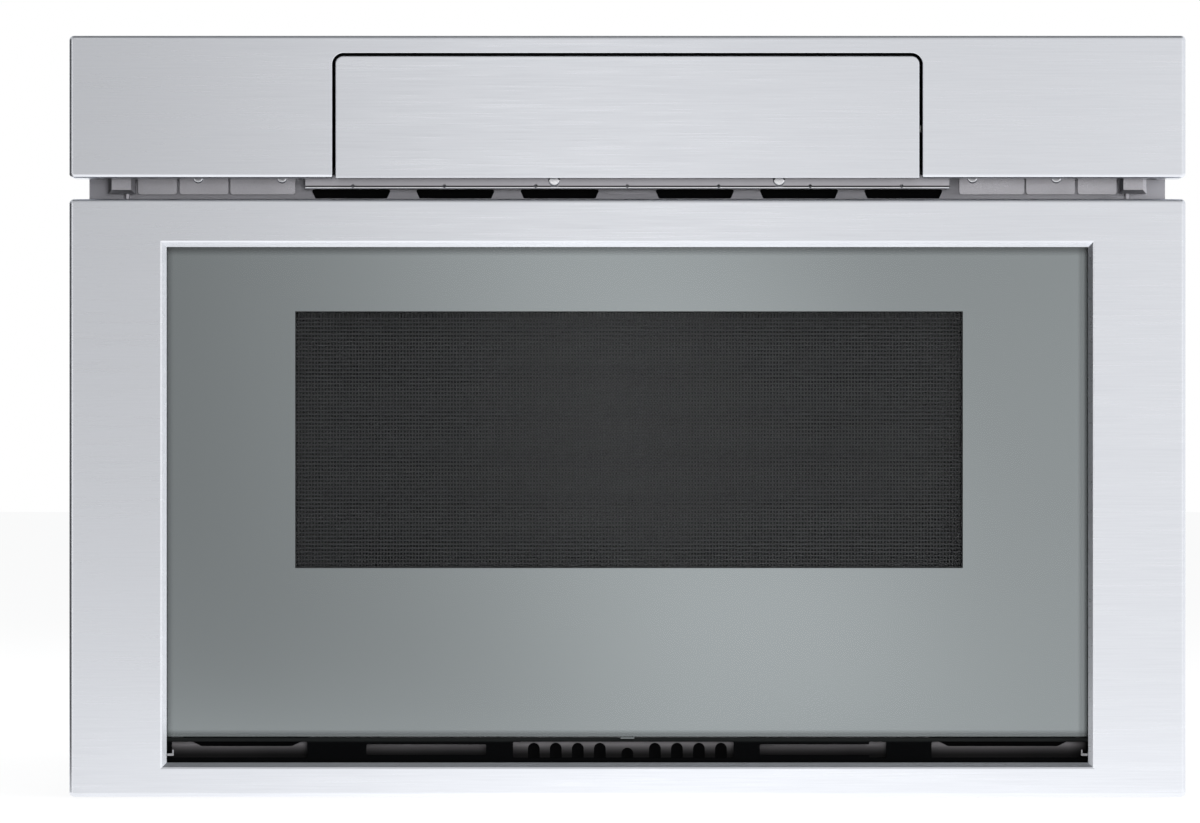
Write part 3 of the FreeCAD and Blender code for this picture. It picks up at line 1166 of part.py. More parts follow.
def chamfer_cutters():
    """Frustums that take the 45 degree chamfer and its broken outer edge out of the frame's opening."""
    def outline(grow, y):
        """Rectangle round the opening at a depth."""
        half = OPENING_HALF + grow
        low = OPENING_LOW - grow
        top = OPENING_TOP + grow
        return Part.makePolygon([Vector(-half, y, low), Vector(half, y, low), Vector(half, y, top),
                                 Vector(-half, y, top), Vector(-half, y, low)])
    width, depth = BROKEN_EDGE
    widest = outline(CHAMFER - depth + width * (1 + 1 / depth), FRONT - 1)
    main = Part.makeLoft([outline(CHAMFER + 1, FRONT - 1), outline(0, FRONT + CHAMFER)], True, True)
    return [main, Part.makeLoft([widest, outline(CHAMFER - depth, FRONT + depth)], True, True)]


def door_glass():
    """Coated front glass; its lower edge stands free above the grille."""
    glass = across(GLASS_HALF, (GLASS_FRONT, GLASS_BACK), (GLASS_LOW, GLASS_TOP))
    lower = edges_along(glass, X_AXIS, lambda p: p.z < GLASS_LOW + GLASS_THICK)
    return glass.makeChamfer(GLASS_THICK / 10, lower)


def glass_carrier():
    """Black frame that the glass is bonded to; it leaves the window clear."""
    outer = (CORE_HALF - SHEET, GLASS_LOW + GLASS_THICK / 2, CORE_TOP - SHEET)
    return ring(outer, (WINDOW_HALF, WINDOW_LOW, WINDOW_TOP), (GLASS_BACK, CARRIER_BACK))


def window_screen():
    """Perforated steel screen behind the window."""
    return across(WINDOW_HALF + SCREEN_LAP, (CARRIER_BACK, SCREEN_BACK),
                  (WINDOW_LOW - SCREEN_LAP, WINDOW_TOP + SCREEN_LAP))


def grille_windows():
    """Windows of the lower grille from left to right, as (left, right, narrowed at both edges)."""
    left_gap, left_width = GRILLE_LEFT
    right_gap, right_width = GRILLE_RIGHT
    left = left_gap - OPENING_HALF
    right = OPENING_HALF - right_gap
    return [(left, left + left_width, 0.0), (*GRILLE_NEXT_LEFT, GRILLE_NEXT_NARROWER),
            (*GRILLE_MIDDLE, 0.0), (*GRILLE_NEXT_RIGHT, GRILLE_NEXT_NARROWER),
            (GRILLE_NEXT_RIGHT[1] - GRILLE_BUMP, GRILLE_NEXT_RIGHT[1], 0.0),
            (right - right_width, right, 0.0)]


def lower_grille():
    """Black grille under the glass with five windows."""
    z = (CORE_LOW + SHEET, GLASS_LOW - SLIDE_FIT)
    body = across(CORE_HALF - SHEET, (GRILLE_FRONT, GRILLE_FRONT + GRILLE_THICK), z)
    low = OPENING_LOW + GRILLE_BAR_LOW
    top = GLASS_LOW - GRILLE_BAR_TOP
    through = (GRILLE_FRONT - SHEET, GRILLE_FRONT + GRILLE_THICK + SHEET)
    windows = []
    for left, right, narrower in grille_windows():
        window = block((left, right), through, (low + narrower, top - narrower))
        windows.append(rounded(window, Y_AXIS, GRILLE_CORNER))
    return body.cut(windows)


def vent_baffle():
    """Grey plate behind the grille with nine holes in its middle and notches near its ends."""
    y = (BAFFLE_FRONT, BAFFLE_FRONT + SHEET)
    z = (CORE_LOW + SHEET, GLASS_LOW + SHEET)
    through = (y[0] - SHEET, y[1] + SHEET)
    body = across(CORE_HALF - SHEET, y, z)
    cutters = []
    for index in range(BAFFLE_HOLES):
        for side in (-1, 1):
            x = side * (BAFFLE_HOLE_FIRST + index * BAFFLE_HOLE_PITCH)
            cutters.append(arch_cutter(x, GLASS_LOW - BAFFLE_HOLE_TOP, BAFFLE_HOLE_R, through))
    cutters.append(arch_cutter(0, GLASS_LOW - BAFFLE_SMALL_TOP, BAFFLE_HOLE_R, through))
    low = GLASS_LOW - NOTCH_DROP
    for side, (inset, half) in ((-1, NOTCH_LEFT), (1, NOTCH_RIGHT)):
        centre = side * (OPENING_HALF - inset)
        outline = [(centre - half - NOTCH_SLOPE, z[1] + SHEET), (centre + half + NOTCH_SLOPE, z[1] + SHEET),
                   (centre + half, low), (centre - half, low)]
        cutters.append(prism_y(outline, through))
    return body.cut(cutters)


def arch_cutter(x, crown, radius, y):
    """Hole with a round top and straight sides, down to the grille's lower bar."""
    low = OPENING_LOW + GRILLE_BAR_LOW - SHEET
    top = rod(Vector(x, y[0], crown - radius), Y_AXIS, radius, y[1] - y[0])
    return top.fuse(block((x - radius, x + radius), y, (min(low, crown - 1.2 * radius), crown - radius)))


def door_core():
    """Folded steel pan behind the frame: the structure of the drawer front."""
    pan = open_tray(CORE_HALF, (SKIN_BACK, CORE_BACK), (CORE_LOW, CORE_TOP), SHEET, CORE_BACK - SHEET)
    front_cut = across(CORE_HALF + SHEET, (SKIN_BACK - SHEET, GLASS_FRONT),
                       (CORE_LOW - SHEET, CORE_TOP + SHEET))
    back = (CORE_BACK - 2 * SHEET, CORE_BACK + SHEET)
    window = across(WINDOW_HALF + PANE_LAP, back, (WINDOW_LOW - PANE_LAP, WINDOW_TOP + PANE_LAP))
    slots = []
    width, corner = CORE_SLOT
    for index in range(CORE_SLOTS):
        x = (index - (CORE_SLOTS - 1) / 2) * CORE_SLOT_PITCH
        slot = block((x - width / 2, x + width / 2), back, (OPENING_LOW + SHEET, GLASS_LOW - 2 * SHEET))
        slots.append(rounded(slot, Y_AXIS, corner))
    return pan.cut([front_cut, window] + slots)


def choke_cover():
    """Frame that faces the cavity's mouth and hides the choke."""
    outer = (CAVITY_HALF + CHOKE_LAP, CAVITY_FLOOR - 2 * SHEET - CHOKE_LAP, CEILING_TOP + CHOKE_LAP)
    inner = (WINDOW_HALF + PANE_LAP, WINDOW_LOW - PANE_LAP, WINDOW_TOP + PANE_LAP)
    body = ring(outer, inner, (CORE_BACK, CHOKE_BACK))
    return rounded(body, Y_AXIS, CHOKE_CORNER, lambda p: abs(p.x) > WINDOW_HALF + PANE_LAP + SHEET)


def inner_pane():
    """Clear pane that closes the window on the food side."""
    lap = PANE_LAP - SLIDE_FIT / 2
    return across(WINDOW_HALF + lap, (CORE_BACK - SHEET, CHOKE_BACK - SLIDE_FIT / 2),
                  (WINDOW_LOW - lap, WINDOW_TOP + lap))


def latch_hooks():
    """Hooks on the back of the drawer front that work the interlock switches."""
    half_width, foot_thick, foot_half = HOOK_FOOT
    neck = HOOK_REACH / 2
    barb = HOOK_REACH * 0.75
    low = LATCH_Z - HOOK_HALF
    top = LATCH_Z + HOOK_HALF
    waist = LATCH_Z + HOOK_HALF / 4
    outline = [(CORE_BACK, low), (HOOK_REACH * 0.8, low), (HOOK_REACH, LATCH_Z), (HOOK_REACH, top),
               (barb, top), (barb, waist), (neck, waist), (neck, top), (CORE_BACK, top)]
    hook = prism_x(outline, (LATCH_X - HOOK_THICK / 2, LATCH_X + HOOK_THICK / 2))
    foot = block((LATCH_X - half_width, LATCH_X + half_width), (CORE_BACK, CORE_BACK + foot_thick),
                 (LATCH_Z - foot_half, LATCH_Z + foot_half))
    return both_sides(joined([hook, foot]))


# ---------------------------------------------------------------- drawer box
def drawer_floor():
    """Steel floor of the drawer box."""
    return across(WALL_HALF, (CHOKE_BACK, DRAWER_REAR + SHEET), (DRAWER_FLOOR, DRAWER_FLOOR + SHEET))


def drawer_wall_right():
    """Side wall of the drawer box with a folded rim."""
    x0 = INTERIOR_WIDTH / 2
    y = (CHOKE_BACK, DRAWER_REAR + SHEET)
    wall = block((x0, WALL_HALF), y, (DRAWER_FLOOR + SHEET, WALL_TOP))
    rim = block((x0, WALL_HALF + RIM), y, (WALL_TOP - SHEET, WALL_TOP))
    return joined([wall, rim])


def drawer_wall_rear():
    """Rear wall of the drawer box with a folded rim."""
    x = INTERIOR_WIDTH / 2
    wall = across(x, (DRAWER_REAR, DRAWER_REAR + SHEET), (DRAWER_FLOOR + SHEET, WALL_TOP))
    rim = across(x, (DRAWER_REAR, DRAWER_REAR + RIM), (WALL_TOP - SHEET, WALL_TOP))
    return joined([wall, rim])


def floor_plate():
    """Ceramic plate that the food stands on."""
    body = across(INTERIOR_WIDTH / 2 - PLATE_EDGE, (CHOKE_BACK + PLATE_EDGE, DRAWER_REAR - PLATE_EDGE),
                  (DRAWER_FLOOR + SHEET, INTERIOR_FLOOR))
    return rounded(body, Z_AXIS, FLOOR_PLATE_CORNER)


# ---------------------------------------------------------------- slides
def channel(x0, x1, height, y0, y1, opens_inwards):
    """C section along Y; the web is at x0, or at x1 where the channel opens inwards."""
    body = block((x0, x1), (y0, y1), (RAIL_Z - height / 2, RAIL_Z + height / 2))
    half = height / 2 - RAIL_STEEL
    hollow_x = (x0 - SHEET, x1 - RAIL_STEEL) if opens_inwards else (x0 + RAIL_STEEL, x1 + SHEET)
    return body.cut(block(hollow_x, (y0 - SHEET, y1 + SHEET), (RAIL_Z - half, RAIL_Z + half)))


def outer_rail_right():
    """Fixed member of the right slide."""
    return channel(RAIL_INNER, RAIL_INNER + RAIL_WIDTH - RAIL_STEEL, RAIL_HEIGHT, RAIL_START,
                   RAIL_START + RAIL_LENGTH, False)


def ball_strip(x, z, direction):
    """Strip of balls between two members; direction points to the member that rolls on it."""
    low = min(z, z + direction * BALL_STRIP)
    ends = (RAIL_START + STRIP_END, RAIL_START + RAIL_LENGTH - STRIP_END)
    strip = block((x - STRIP_WIDTH / 2, x + STRIP_WIDTH / 2), ends, (low, low + BALL_STRIP))
    pitch = (RAIL_LENGTH - 4 * STRIP_END) / (BALL_COUNT - 1)
    centre_z = z + direction * (RAIL_GAP - BALL_GAP - BALL_R)
    balls = [Part.makeSphere(BALL_R, Vector(x, RAIL_START + 2 * STRIP_END + index * pitch, centre_z))
             for index in range(BALL_COUNT)]
    return joined([strip] + balls)


def middle_rail_right():
    """Middle member with its four strips of balls."""
    x0 = RAIL_INNER + RAIL_STEEL + MIDDLE_OFFSET
    x1 = RAIL_INNER + RAIL_WIDTH - RAIL_STEEL
    body = channel(x0, x1, MIDDLE_HEIGHT, RAIL_START, RAIL_START + RAIL_LENGTH, False)
    strip_x = (x0 + x1) / 2 + RAIL_STEEL
    solids = [body]
    for direction in (-1, 1):
        outer_z = RAIL_Z + direction * MIDDLE_HEIGHT / 2
        inner_z = RAIL_Z + direction * (MIDDLE_HEIGHT / 2 - RAIL_STEEL)
        solids.append(ball_strip(strip_x, outer_z, direction))
        solids.append(ball_strip(strip_x, inner_z, -direction))
    return Part.makeCompound(solids)


def inner_rail_right():
    """Member of the right slide that carries the drawer front."""
    x1 = RAIL_INNER + RAIL_WIDTH + INNER_RAIL_PROUD
    end = RAIL_START + RAIL_LENGTH - STRIP_END / 4
    return channel(x1 - INNER_RAIL_WIDTH, x1, INNER_HEIGHT, CORE_BACK, end, True)


def rail_brackets():
    """Spacers that carry the fixed rails on the cavity's walls."""
    first, last = BRACKET_INSET
    half = RAIL_HEIGHT / 2 - BRACKET_LOWER
    brackets = []
    for y in (RAIL_START + first, RAIL_START + RAIL_LENGTH - last):
        body = block((CAVITY_HALF, RAIL_INNER), (y, y + BRACKET_LENGTH), (RAIL_Z - half, RAIL_Z + half))
        hollow = block((CAVITY_HALF + BRACKET_WALL, RAIL_INNER - BRACKET_WALL),
                       (y - SHEET, y + BRACKET_LENGTH + SHEET),
                       (RAIL_Z - half + BRACKET_WALL, RAIL_Z + half - BRACKET_WALL))
        body = body.cut(hollow)
        brackets += [body, left_of(body)]
    return Part.makeCompound(brackets)


# ---------------------------------------------------------------- drive
def drive_rack():
    """Toothed bar under the cavity, fixed to the back of the drawer front."""
    pitch = math.pi * RACK_MODULE
    slope = math.tan(PRESSURE_ANGLE)
    tip_z = RACK_PITCH_LINE - ADDENDUM * RACK_MODULE
    half_pitch_line = pitch / 4 - BACKLASH / 4
    half_tip = half_pitch_line - ADDENDUM * RACK_MODULE * slope
    half_root = half_pitch_line + DEDENDUM * RACK_MODULE * slope
    front = CHOKE_BACK + SHEET
    first = math.ceil((front + pitch - DRIVE_Y) / pitch) + 0.5
    count = int((RACK_REAR - half_root - DRIVE_Y) / pitch - first)
    points = [(front, RACK_TOP), (front, RACK_ROOT)]
    for tooth in range(count + 1):
        centre = DRIVE_Y + (first + tooth) * pitch
        points += [(centre - half_root, RACK_ROOT), (centre - half_tip, tip_z),
                   (centre + half_tip, tip_z), (centre + half_root, RACK_ROOT)]
    points += [(RACK_REAR, RACK_ROOT), (RACK_REAR, RACK_TOP)]
    bar = prism_x(points, (-RACK_HALF, RACK_HALF))
    foot = across(RACK_FOOT_HALF, (CORE_BACK, front + SHAFT_FIT),
                  (RACK_ROOT - RACK_FOOT_DROP, RACK_TOP + SHEET))
    return joined([bar, foot])


def drive_pinion():
    """Pinion under the rack with its shaft."""
    wheel = gear(RACK_MODULE, DRIVE_TEETH, DRIVE_GEAR_WIDTH)
    wheel = lay_along_x(wheel, -DRIVE_GEAR_WIDTH / 2, DRIVE_Y, DRIVE_Z, math.pi / 2)
    start, end = DRIVE_SHAFT_SPAN
    return joined([wheel, rod(Vector(start, DRIVE_Y, DRIVE_Z), X_AXIS, DRIVE_SHAFT_R, end - start)])


def drive_gearmotor():
    """Gearbox and motor that push the drawer, standing on the base pan."""
    width, half_depth, corner = GEARBOX
    foot_width, foot_half, foot_thick = DRIVE_FOOT
    end = GEARBOX_START + width
    motor_end = end + DRIVE_MOTOR_LENGTH
    case = block((GEARBOX_START, end), (DRIVE_Y - half_depth, DRIVE_Y + half_depth),
                 (BASE_TOP, RACK_ROOT - SHEET))
    case = rounded(case, X_AXIS, corner)
    foot = block((GEARBOX_START, GEARBOX_START + foot_width), (DRIVE_Y - foot_half, DRIVE_Y + foot_half),
                 (BASE_TOP, BASE_TOP + foot_thick))
    can_z = BASE_TOP + DRIVE_MOTOR_RISE
    can = rod(Vector(end, DRIVE_Y, can_z), X_AXIS, DRIVE_MOTOR_R, DRIVE_MOTOR_LENGTH)
    cap = rod(Vector(motor_end, DRIVE_Y, can_z), X_AXIS, DRIVE_MOTOR_R * 0.4, corner)
    blade_half, blade_thick, blade_length = TERMINAL_BLADE
    terminals = []
    for side in (-1, 1):
        y = DRIVE_Y + side * DRIVE_MOTOR_R * 2 / 3
        terminals.append(block((motor_end - corner, motor_end + blade_length / 2),
                               (y - blade_half / 2, y + blade_half / 2),
                               (can_z - blade_thick, can_z + blade_thick)))
    bore = rod(Vector(GEARBOX_START - SHEET, DRIVE_Y, DRIVE_Z), X_AXIS, DRIVE_SHAFT_R + SHAFT_FIT,
               DRIVE_SHAFT_SPAN[1] - GEARBOX_START + 2 * SHEET)
    return joined([case, foot, can, cap] + terminals).cut(bore)


def shaft_bearing():
    """Stand with the second bearing of the drive shaft."""
    y = (DRIVE_Y - BEARING_HALF, DRIVE_Y + BEARING_HALF)
    start = BEARING_END - BEARING_WIDTH
    body = block((start, BEARING_END), y, (BASE_TOP, DRIVE_Z + BEARING_TOP))
    body = rounded(body, X_AXIS, BEARING_TOP / 2, lambda p: p.z > DRIVE_Z)
    foot = block((start - BEARING_FOOT, BEARING_END), y, (BASE_TOP, BASE_TOP + GUIDE_WALL))
    bore = rod(Vector(start - SHEET, DRIVE_Y, DRIVE_Z), X_AXIS, DRIVE_SHAFT_R + SHAFT_FIT,
               BEARING_WIDTH + 2 * SHEET)
    return joined([body, foot]).cut(bore)


def rack_guide():
    """Plastic channel under the cavity floor that keeps the rack in line."""
    y = (GUIDE_START, GUIDE_START + GUIDE_LENGTH)
    body = across(RACK_HALF + GUIDE_WALL, y, (RACK_ROOT + SLIDE_FIT, CAVITY_FLOOR - SHEET))
    room = across(RACK_HALF + SLIDE_FIT, (y[0] - SHEET, y[1] + SHEET), (0, RACK_TOP + SLIDE_FIT))
    return body.cut(room)


# ---------------------------------------------------------------- cavity and high-frequency parts
def cavity_floor():
    """Fixed floor under the drawer box."""
    return across(CAVITY_HALF, (0, CAVITY_REAR + SHEET), (CAVITY_FLOOR - SHEET, CAVITY_FLOOR))


def cavity_ceiling():
    """Ceiling of the cavity with the round opening for the stirrer."""
    body = across(CAVITY_HALF, (0, CAVITY_REAR + SHEET), (CEILING, CEILING_TOP))
    return body.cut(rod(Vector(0, STIRRER_Y, CEILING - SHEET), Z_AXIS, STIRRER_OPENING_R, 3 * SHEET))


def lamp_place():
    """Front lower corner of the oven lamp on the cavity's right wall."""
    from_rear, below_ceiling = LAMP_PLACE
    return Vector(CAVITY_HALF, DRAWER_REAR - from_rear, CEILING - below_ceiling)


def wall_holes(x, first_y, first_z, counts, pitch, radius):
    """Rows of air or light holes through one of the cavity's side walls."""
    columns, rows = counts
    return [rod(Vector(x - 2 * SHEET, first_y + column * pitch, first_z + row * pitch), X_AXIS, radius,
                4 * SHEET) for row in range(rows) for column in range(columns)]


def cavity_side_right():
    """Right wall of the cavity, with holes that let the lamp shine in."""
    body = block((CAVITY_INNER, CAVITY_HALF), (0, CAVITY_REAR), (CAVITY_FLOOR, CEILING))
    lamp = lamp_place()
    return body.cut(wall_holes(CAVITY_HALF, lamp.y + LAMP_BOX[1] / 4, lamp.z + LAMP_BOX[2] / 3, LAMP_HOLES,
                               LAMP_HOLE_PITCH, LAMP_HOLE_R))


def cavity_side_left():
    """Left wall of the cavity with its air holes."""
    body = block((-CAVITY_HALF, -CAVITY_INNER), (0, CAVITY_REAR), (CAVITY_FLOOR, CEILING))
    from_rear, below_ceiling = AIR_HOLES_PLACE
    return body.cut(wall_holes(-CAVITY_HALF, DRAWER_REAR - from_rear, CEILING - below_ceiling, AIR_HOLES,
                               AIR_HOLE_PITCH, AIR_HOLE_R))


def cavity_rear():
    """Rear wall of the cavity."""
    return across(CAVITY_HALF, (CAVITY_REAR, CAVITY_REAR + SHEET), (CAVITY_FLOOR, CEILING))


def stirrer_cover():
    """Thin mica disc that lies in the dome over the ceiling's opening."""
    return rod(Vector(0, STIRRER_Y, CEILING_TOP), Z_AXIS, DOME_R - SHEET - SCREW_FIT, SHEET)


def waveguide():
    """Duct from the magnetron to the round dome over the stirrer."""
    z = (CEILING_TOP, CEILING_TOP + DUCT_HEIGHT)
    middle = Vector(0, STIRRER_Y, z[0])
    outer = rod(middle, Z_AXIS, DOME_R, DUCT_HEIGHT).fuse(across(DUCT_HALF, (STIRRER_Y, DUCT_REAR), z))
    dome_room = rod(middle, Z_AXIS, DOME_R - SHEET, DUCT_HEIGHT - SHEET)
    duct_room = across(DUCT_HALF - SHEET, (STIRRER_Y, DUCT_REAR - SHEET), (z[0] + SHEET, z[1] - SHEET))
    shaft_hole = rod(middle, Z_AXIS, STIRRER_SHAFT_R * 1.6, DUCT_HEIGHT + SHEET)
    antenna_hole = rod(Vector(0, MAGNETRON_Y, z[0] - SHEET), Z_AXIS, ANTENNA_HOLE_R, 3 * SHEET)
    return outer.cut([dome_room, duct_room, shaft_hole, antenna_hole])


def stirrer():
    """Four-blade fan that spreads the waves, on its shaft."""
    low = CEILING_TOP + STIRRER_LIFT
    width, thick, tilt, corner = STIRRER_BLADE
    hub_r, hub_height = STIRRER_HUB
    hub_at = Vector(0, 0, low - hub_height / 2)
    blades = []
    for index in range(STIRRER_BLADES):
        blade = block((hub_r * 2 / 3, STIRRER_R), (-width / 2, width / 2), (low, low + thick))
        blade = rounded(blade, Z_AXIS, corner, lambda p: p.x > hub_r)
        blade.rotate(Vector(0, 0, low), X_AXIS, tilt)
        blade.rotate(Vector(0, 0, 0), Z_AXIS, 360 * index / STIRRER_BLADES)
        blades.append(blade)
    hub = rod(hub_at, Z_AXIS, hub_r, hub_height)
    shaft = rod(hub_at, Z_AXIS, STIRRER_SHAFT_R, DUCT_HEIGHT + 2 * SHEET)
    body = joined([hub, shaft] + blades)
    body.translate(Vector(0, STIRRER_Y, 0))
    return body


def stirrer_motor():
    """Slow motor on top of the dome."""
    radius, height = STIRRER_MOTOR
    ear_half, ear_r, ear_thick = STIRRER_MOTOR_EAR
    low = CEILING_TOP + DUCT_HEIGHT
    middle = Vector(0, STIRRER_Y, low)
    can = rod(middle, Z_AXIS, radius, height)
    ear = across(ear_half, (STIRRER_Y - ear_r * 1.05, STIRRER_Y + ear_r * 1.05), (low, low + ear_thick))
    ear = rounded(ear, Z_AXIS, ear_r)
    plug = across(height / 2, (STIRRER_Y + radius * 0.9, STIRRER_Y + radius + height / 2),
                  (low + height / 4, low + height * 0.75))
    bore = rod(middle.sub(Z_AXIS), Z_AXIS, STIRRER_SHAFT_R + SHAFT_FIT, height / 2)
    return joined([can, ear, plug]).cut(bore)


def magnetron():
    """Magnetron: yoke, cooling fins, antenna and filter box."""
    top = CEILING_TOP
    low = top - MAGNETRON_HEIGHT
    half, half_depth = MAGNETRON_HALF
    box_half, box_depth, box_height = FILTER_BOX
    y = (MAGNETRON_Y - half_depth, MAGNETRON_Y + half_depth)
    yoke = across(half, y, (low, top)).cut(across(half - YOKE, (y[0] - SHEET, y[1] + SHEET),
                                                  (low + YOKE, top - YOKE)))
    fins = []
    for index in range(MAGNETRON_FINS):
        fin_z = low + FIN_FIRST + index * FIN_PITCH
        fins.append(across(half - YOKE, (y[0] + YOKE, y[1] - YOKE), (fin_z, fin_z + FIN)))
    anode = rod(Vector(0, MAGNETRON_Y, low), Z_AXIS, ANODE_R, MAGNETRON_HEIGHT)
    antenna = rod(Vector(0, MAGNETRON_Y, top), Z_AXIS, ANTENNA_R, ANTENNA_LENGTH)
    box = across(box_half, (MAGNETRON_Y - box_depth, MAGNETRON_Y + box_depth), (low - box_height, low))
    return joined([yoke, anode, antenna, box] + fins)


def hv_transformer():
    """High-voltage transformer on the base pan."""
    width, depth, height = TRANSFORMER
    foot_lap, foot = TRANSFORMER_FOOT
    low = BASE_TOP + foot
    x = (CAVITY_HALF - TRANSFORMER_INSET - width, CAVITY_HALF - TRANSFORMER_INSET)
    y = (CAVITY_REAR + TRANSFORMER_BACK, CAVITY_REAR + TRANSFORMER_BACK + depth)
    core = block(x, y, (low, low + height))
    base = block((x[0] - foot_lap, x[1] + foot_lap), y, (BASE_TOP, low))
    coil_z = low + (height - COIL_HEIGHT) / 2
    coil = block((x[0] + COIL_INSET, x[1] - COIL_INSET), (y[0] - COIL_PROUD, y[1] + COIL_PROUD),
                 (coil_z, coil_z + COIL_HEIGHT))
    return joined([core, base, rounded(coil, Z_AXIS, COIL_PROUD * 0.6)])


def hv_capacitor():
    """High-voltage capacitor with its two terminals, on the base pan."""
    width, depth, height = CAPACITOR
    post_r, post_height, post_offset = TERMINAL_POST
    blade_half, blade_thick, blade_height = TERMINAL_BLADE
    x = CAPACITOR_INSET - CAVITY_HALF
    y = CAVITY_REAR + CAPACITOR_BACK
    top = BASE_TOP + height
    pieces = [rounded(block((x, x + width), (y, y + depth), (BASE_TOP, top)), Z_AXIS, depth * 0.48)]
    for side in (-1, 1):
        at = Vector(x + width / 2 + side * post_offset, y + depth / 2, top)
        pieces.append(rod(at, Z_AXIS, post_r, post_height))
        pieces.append(block((at.x - blade_half, at.x + blade_half), (at.y - blade_thick, at.y + blade_thick),
                            (top + post_height, top + post_height + blade_height)))
    return joined(pieces)


# ---------------------------------------------------------------- cooling and electric parts
def fan_middle(y):
    """Point on the cooling fan's axis."""
    return Vector(FAN_X, y, FAN_Z)


def fan_shroud():
    """Square case of the cooling fan with the spider for its motor, on the rear panel."""
    half = FAN_CASE / 2
    inner = half - FAN_CORNER
    arm_y = (FAN_FRONT, FAN_FRONT + FAN_ARM_THICK)
    case = plate((FAN_X - half, FAN_X + half), (FAN_FRONT, REAR_INNER), (FAN_Z - half, FAN_Z + half),
                 FAN_CORNER)
    case = case.cut(rod(fan_middle(FAN_FRONT - SHEET), Y_AXIS, FAN_R + FAN_TIP_GAP, FAN_DEPTH + 2 * SHEET))
    seat = rod(fan_middle(FAN_FRONT), Y_AXIS, FAN_RING_R, FAN_ARM_THICK)
    arms = [block((FAN_X - inner, FAN_X + inner), arm_y, (FAN_Z - FAN_ARM / 2, FAN_Z + FAN_ARM / 2)),
            block((FAN_X - FAN_ARM / 2, FAN_X + FAN_ARM / 2), arm_y, (FAN_Z - inner, FAN_Z + inner))]
    shaft_room = rod(fan_middle(FAN_FRONT - SHEET), Y_AXIS, FAN_SHAFT_ROOM, FAN_DEPTH)
    return joined([case, seat] + arms).cut(shaft_room)


def fan_motor():
    """Motor of the cooling fan."""
    radius, length = FAN_MOTOR
    width, depth, height = FAN_STACK
    can = rod(fan_middle(FAN_FRONT - length), Y_AXIS, radius, length)
    left = FAN_X - radius * 0.8
    middle_y = FAN_FRONT - length * 0.55
    stack = block((left, left + width), (middle_y - depth / 2, middle_y + depth / 2),
                  (FAN_Z - height / 2, FAN_Z + height / 2))
    bore = rod(fan_middle(FAN_FRONT - length / 2), Y_AXIS, FAN_SHAFT_R + SHAFT_FIT, length)
    return joined([can, stack]).cut(bore)


def fan_impeller():
    """Five-blade impeller with its shaft."""
    hub_r, hub_length = FAN_HUB
    width, thick, tilt = FAN_BLADE
    start = FAN_FRONT + FAN_SETBACK
    middle = start + hub_length / 2
    shaft_start = start - 3 * FAN_SETBACK
    hub = rod(fan_middle(start), Y_AXIS, hub_r, hub_length)
    shaft = rod(fan_middle(shaft_start), Y_AXIS, FAN_SHAFT_R, start - shaft_start + SHEET)
    blades = []
    for index in range(FAN_BLADES):
        blade = block((FAN_X + hub_r * 0.8, FAN_X + FAN_R + thick * 4),
                      (middle - thick / 2, middle + thick / 2), (FAN_Z - width / 2, FAN_Z + width / 2))
        blade.rotate(fan_middle(middle), X_AXIS, tilt)
        blade.rotate(fan_middle(middle), Y_AXIS, 360 * index / FAN_BLADES)
        blades.append(blade)
    sweep = rod(fan_middle(shaft_start), Y_AXIS, FAN_R, REAR_INNER - shaft_start)
    return joined([hub, shaft] + blades).common(sweep)


def control_board():
    """Power and control board on standoffs over the ceiling."""
    width, depth = CONTROL_BOARD
    from_side, y0 = CONTROL_BOARD_PLACE
    foot_r, foot_height = STANDOFF
    relay_width, relay_depth, relay_height = RELAY
    supply_width, supply_depth, supply_height = SUPPLY
    can_r, can_height = BOARD_CAN
    row_width, row_depth, row_height = SOCKET_ROW
    x0 = from_side - CAVITY_HALF
    low = CEILING_TOP + foot_height
    top = low + BOARD_THICK
    inset = STANDOFF_INSET
    pieces = [block((x0, x0 + width), (y0, y0 + depth), (low, top))]
    pieces += [rod(Vector(x0 + dx, y0 + dy, CEILING_TOP), Z_AXIS, foot_r, foot_height)
               for dx in (inset, width - inset) for dy in (inset, depth - inset)]
    relay_y = y0 + depth * 0.7
    for index in range(RELAYS):
        x = x0 + inset + index * RELAY_PITCH
        pieces.append(block((x, x + relay_width), (relay_y, relay_y + relay_depth),
                            (top, top + relay_height)))
    supply_y = y0 + depth * 0.35
    pieces.append(block((x0 + inset, x0 + inset + supply_width), (supply_y, supply_y + supply_depth),
                        (top, top + supply_height)))
    for index in range(2):
        at = Vector(x0 + width * 0.6 + index * 2.5 * can_r, supply_y + supply_depth / 2, top)
        pieces.append(rod(at, Z_AXIS, can_r, can_height))
    pieces.append(block((x0 + inset, x0 + inset + row_width), (y0 + depth / 10, y0 + depth / 10 + row_depth),
                        (top, top + row_height)))
    return joined(pieces)


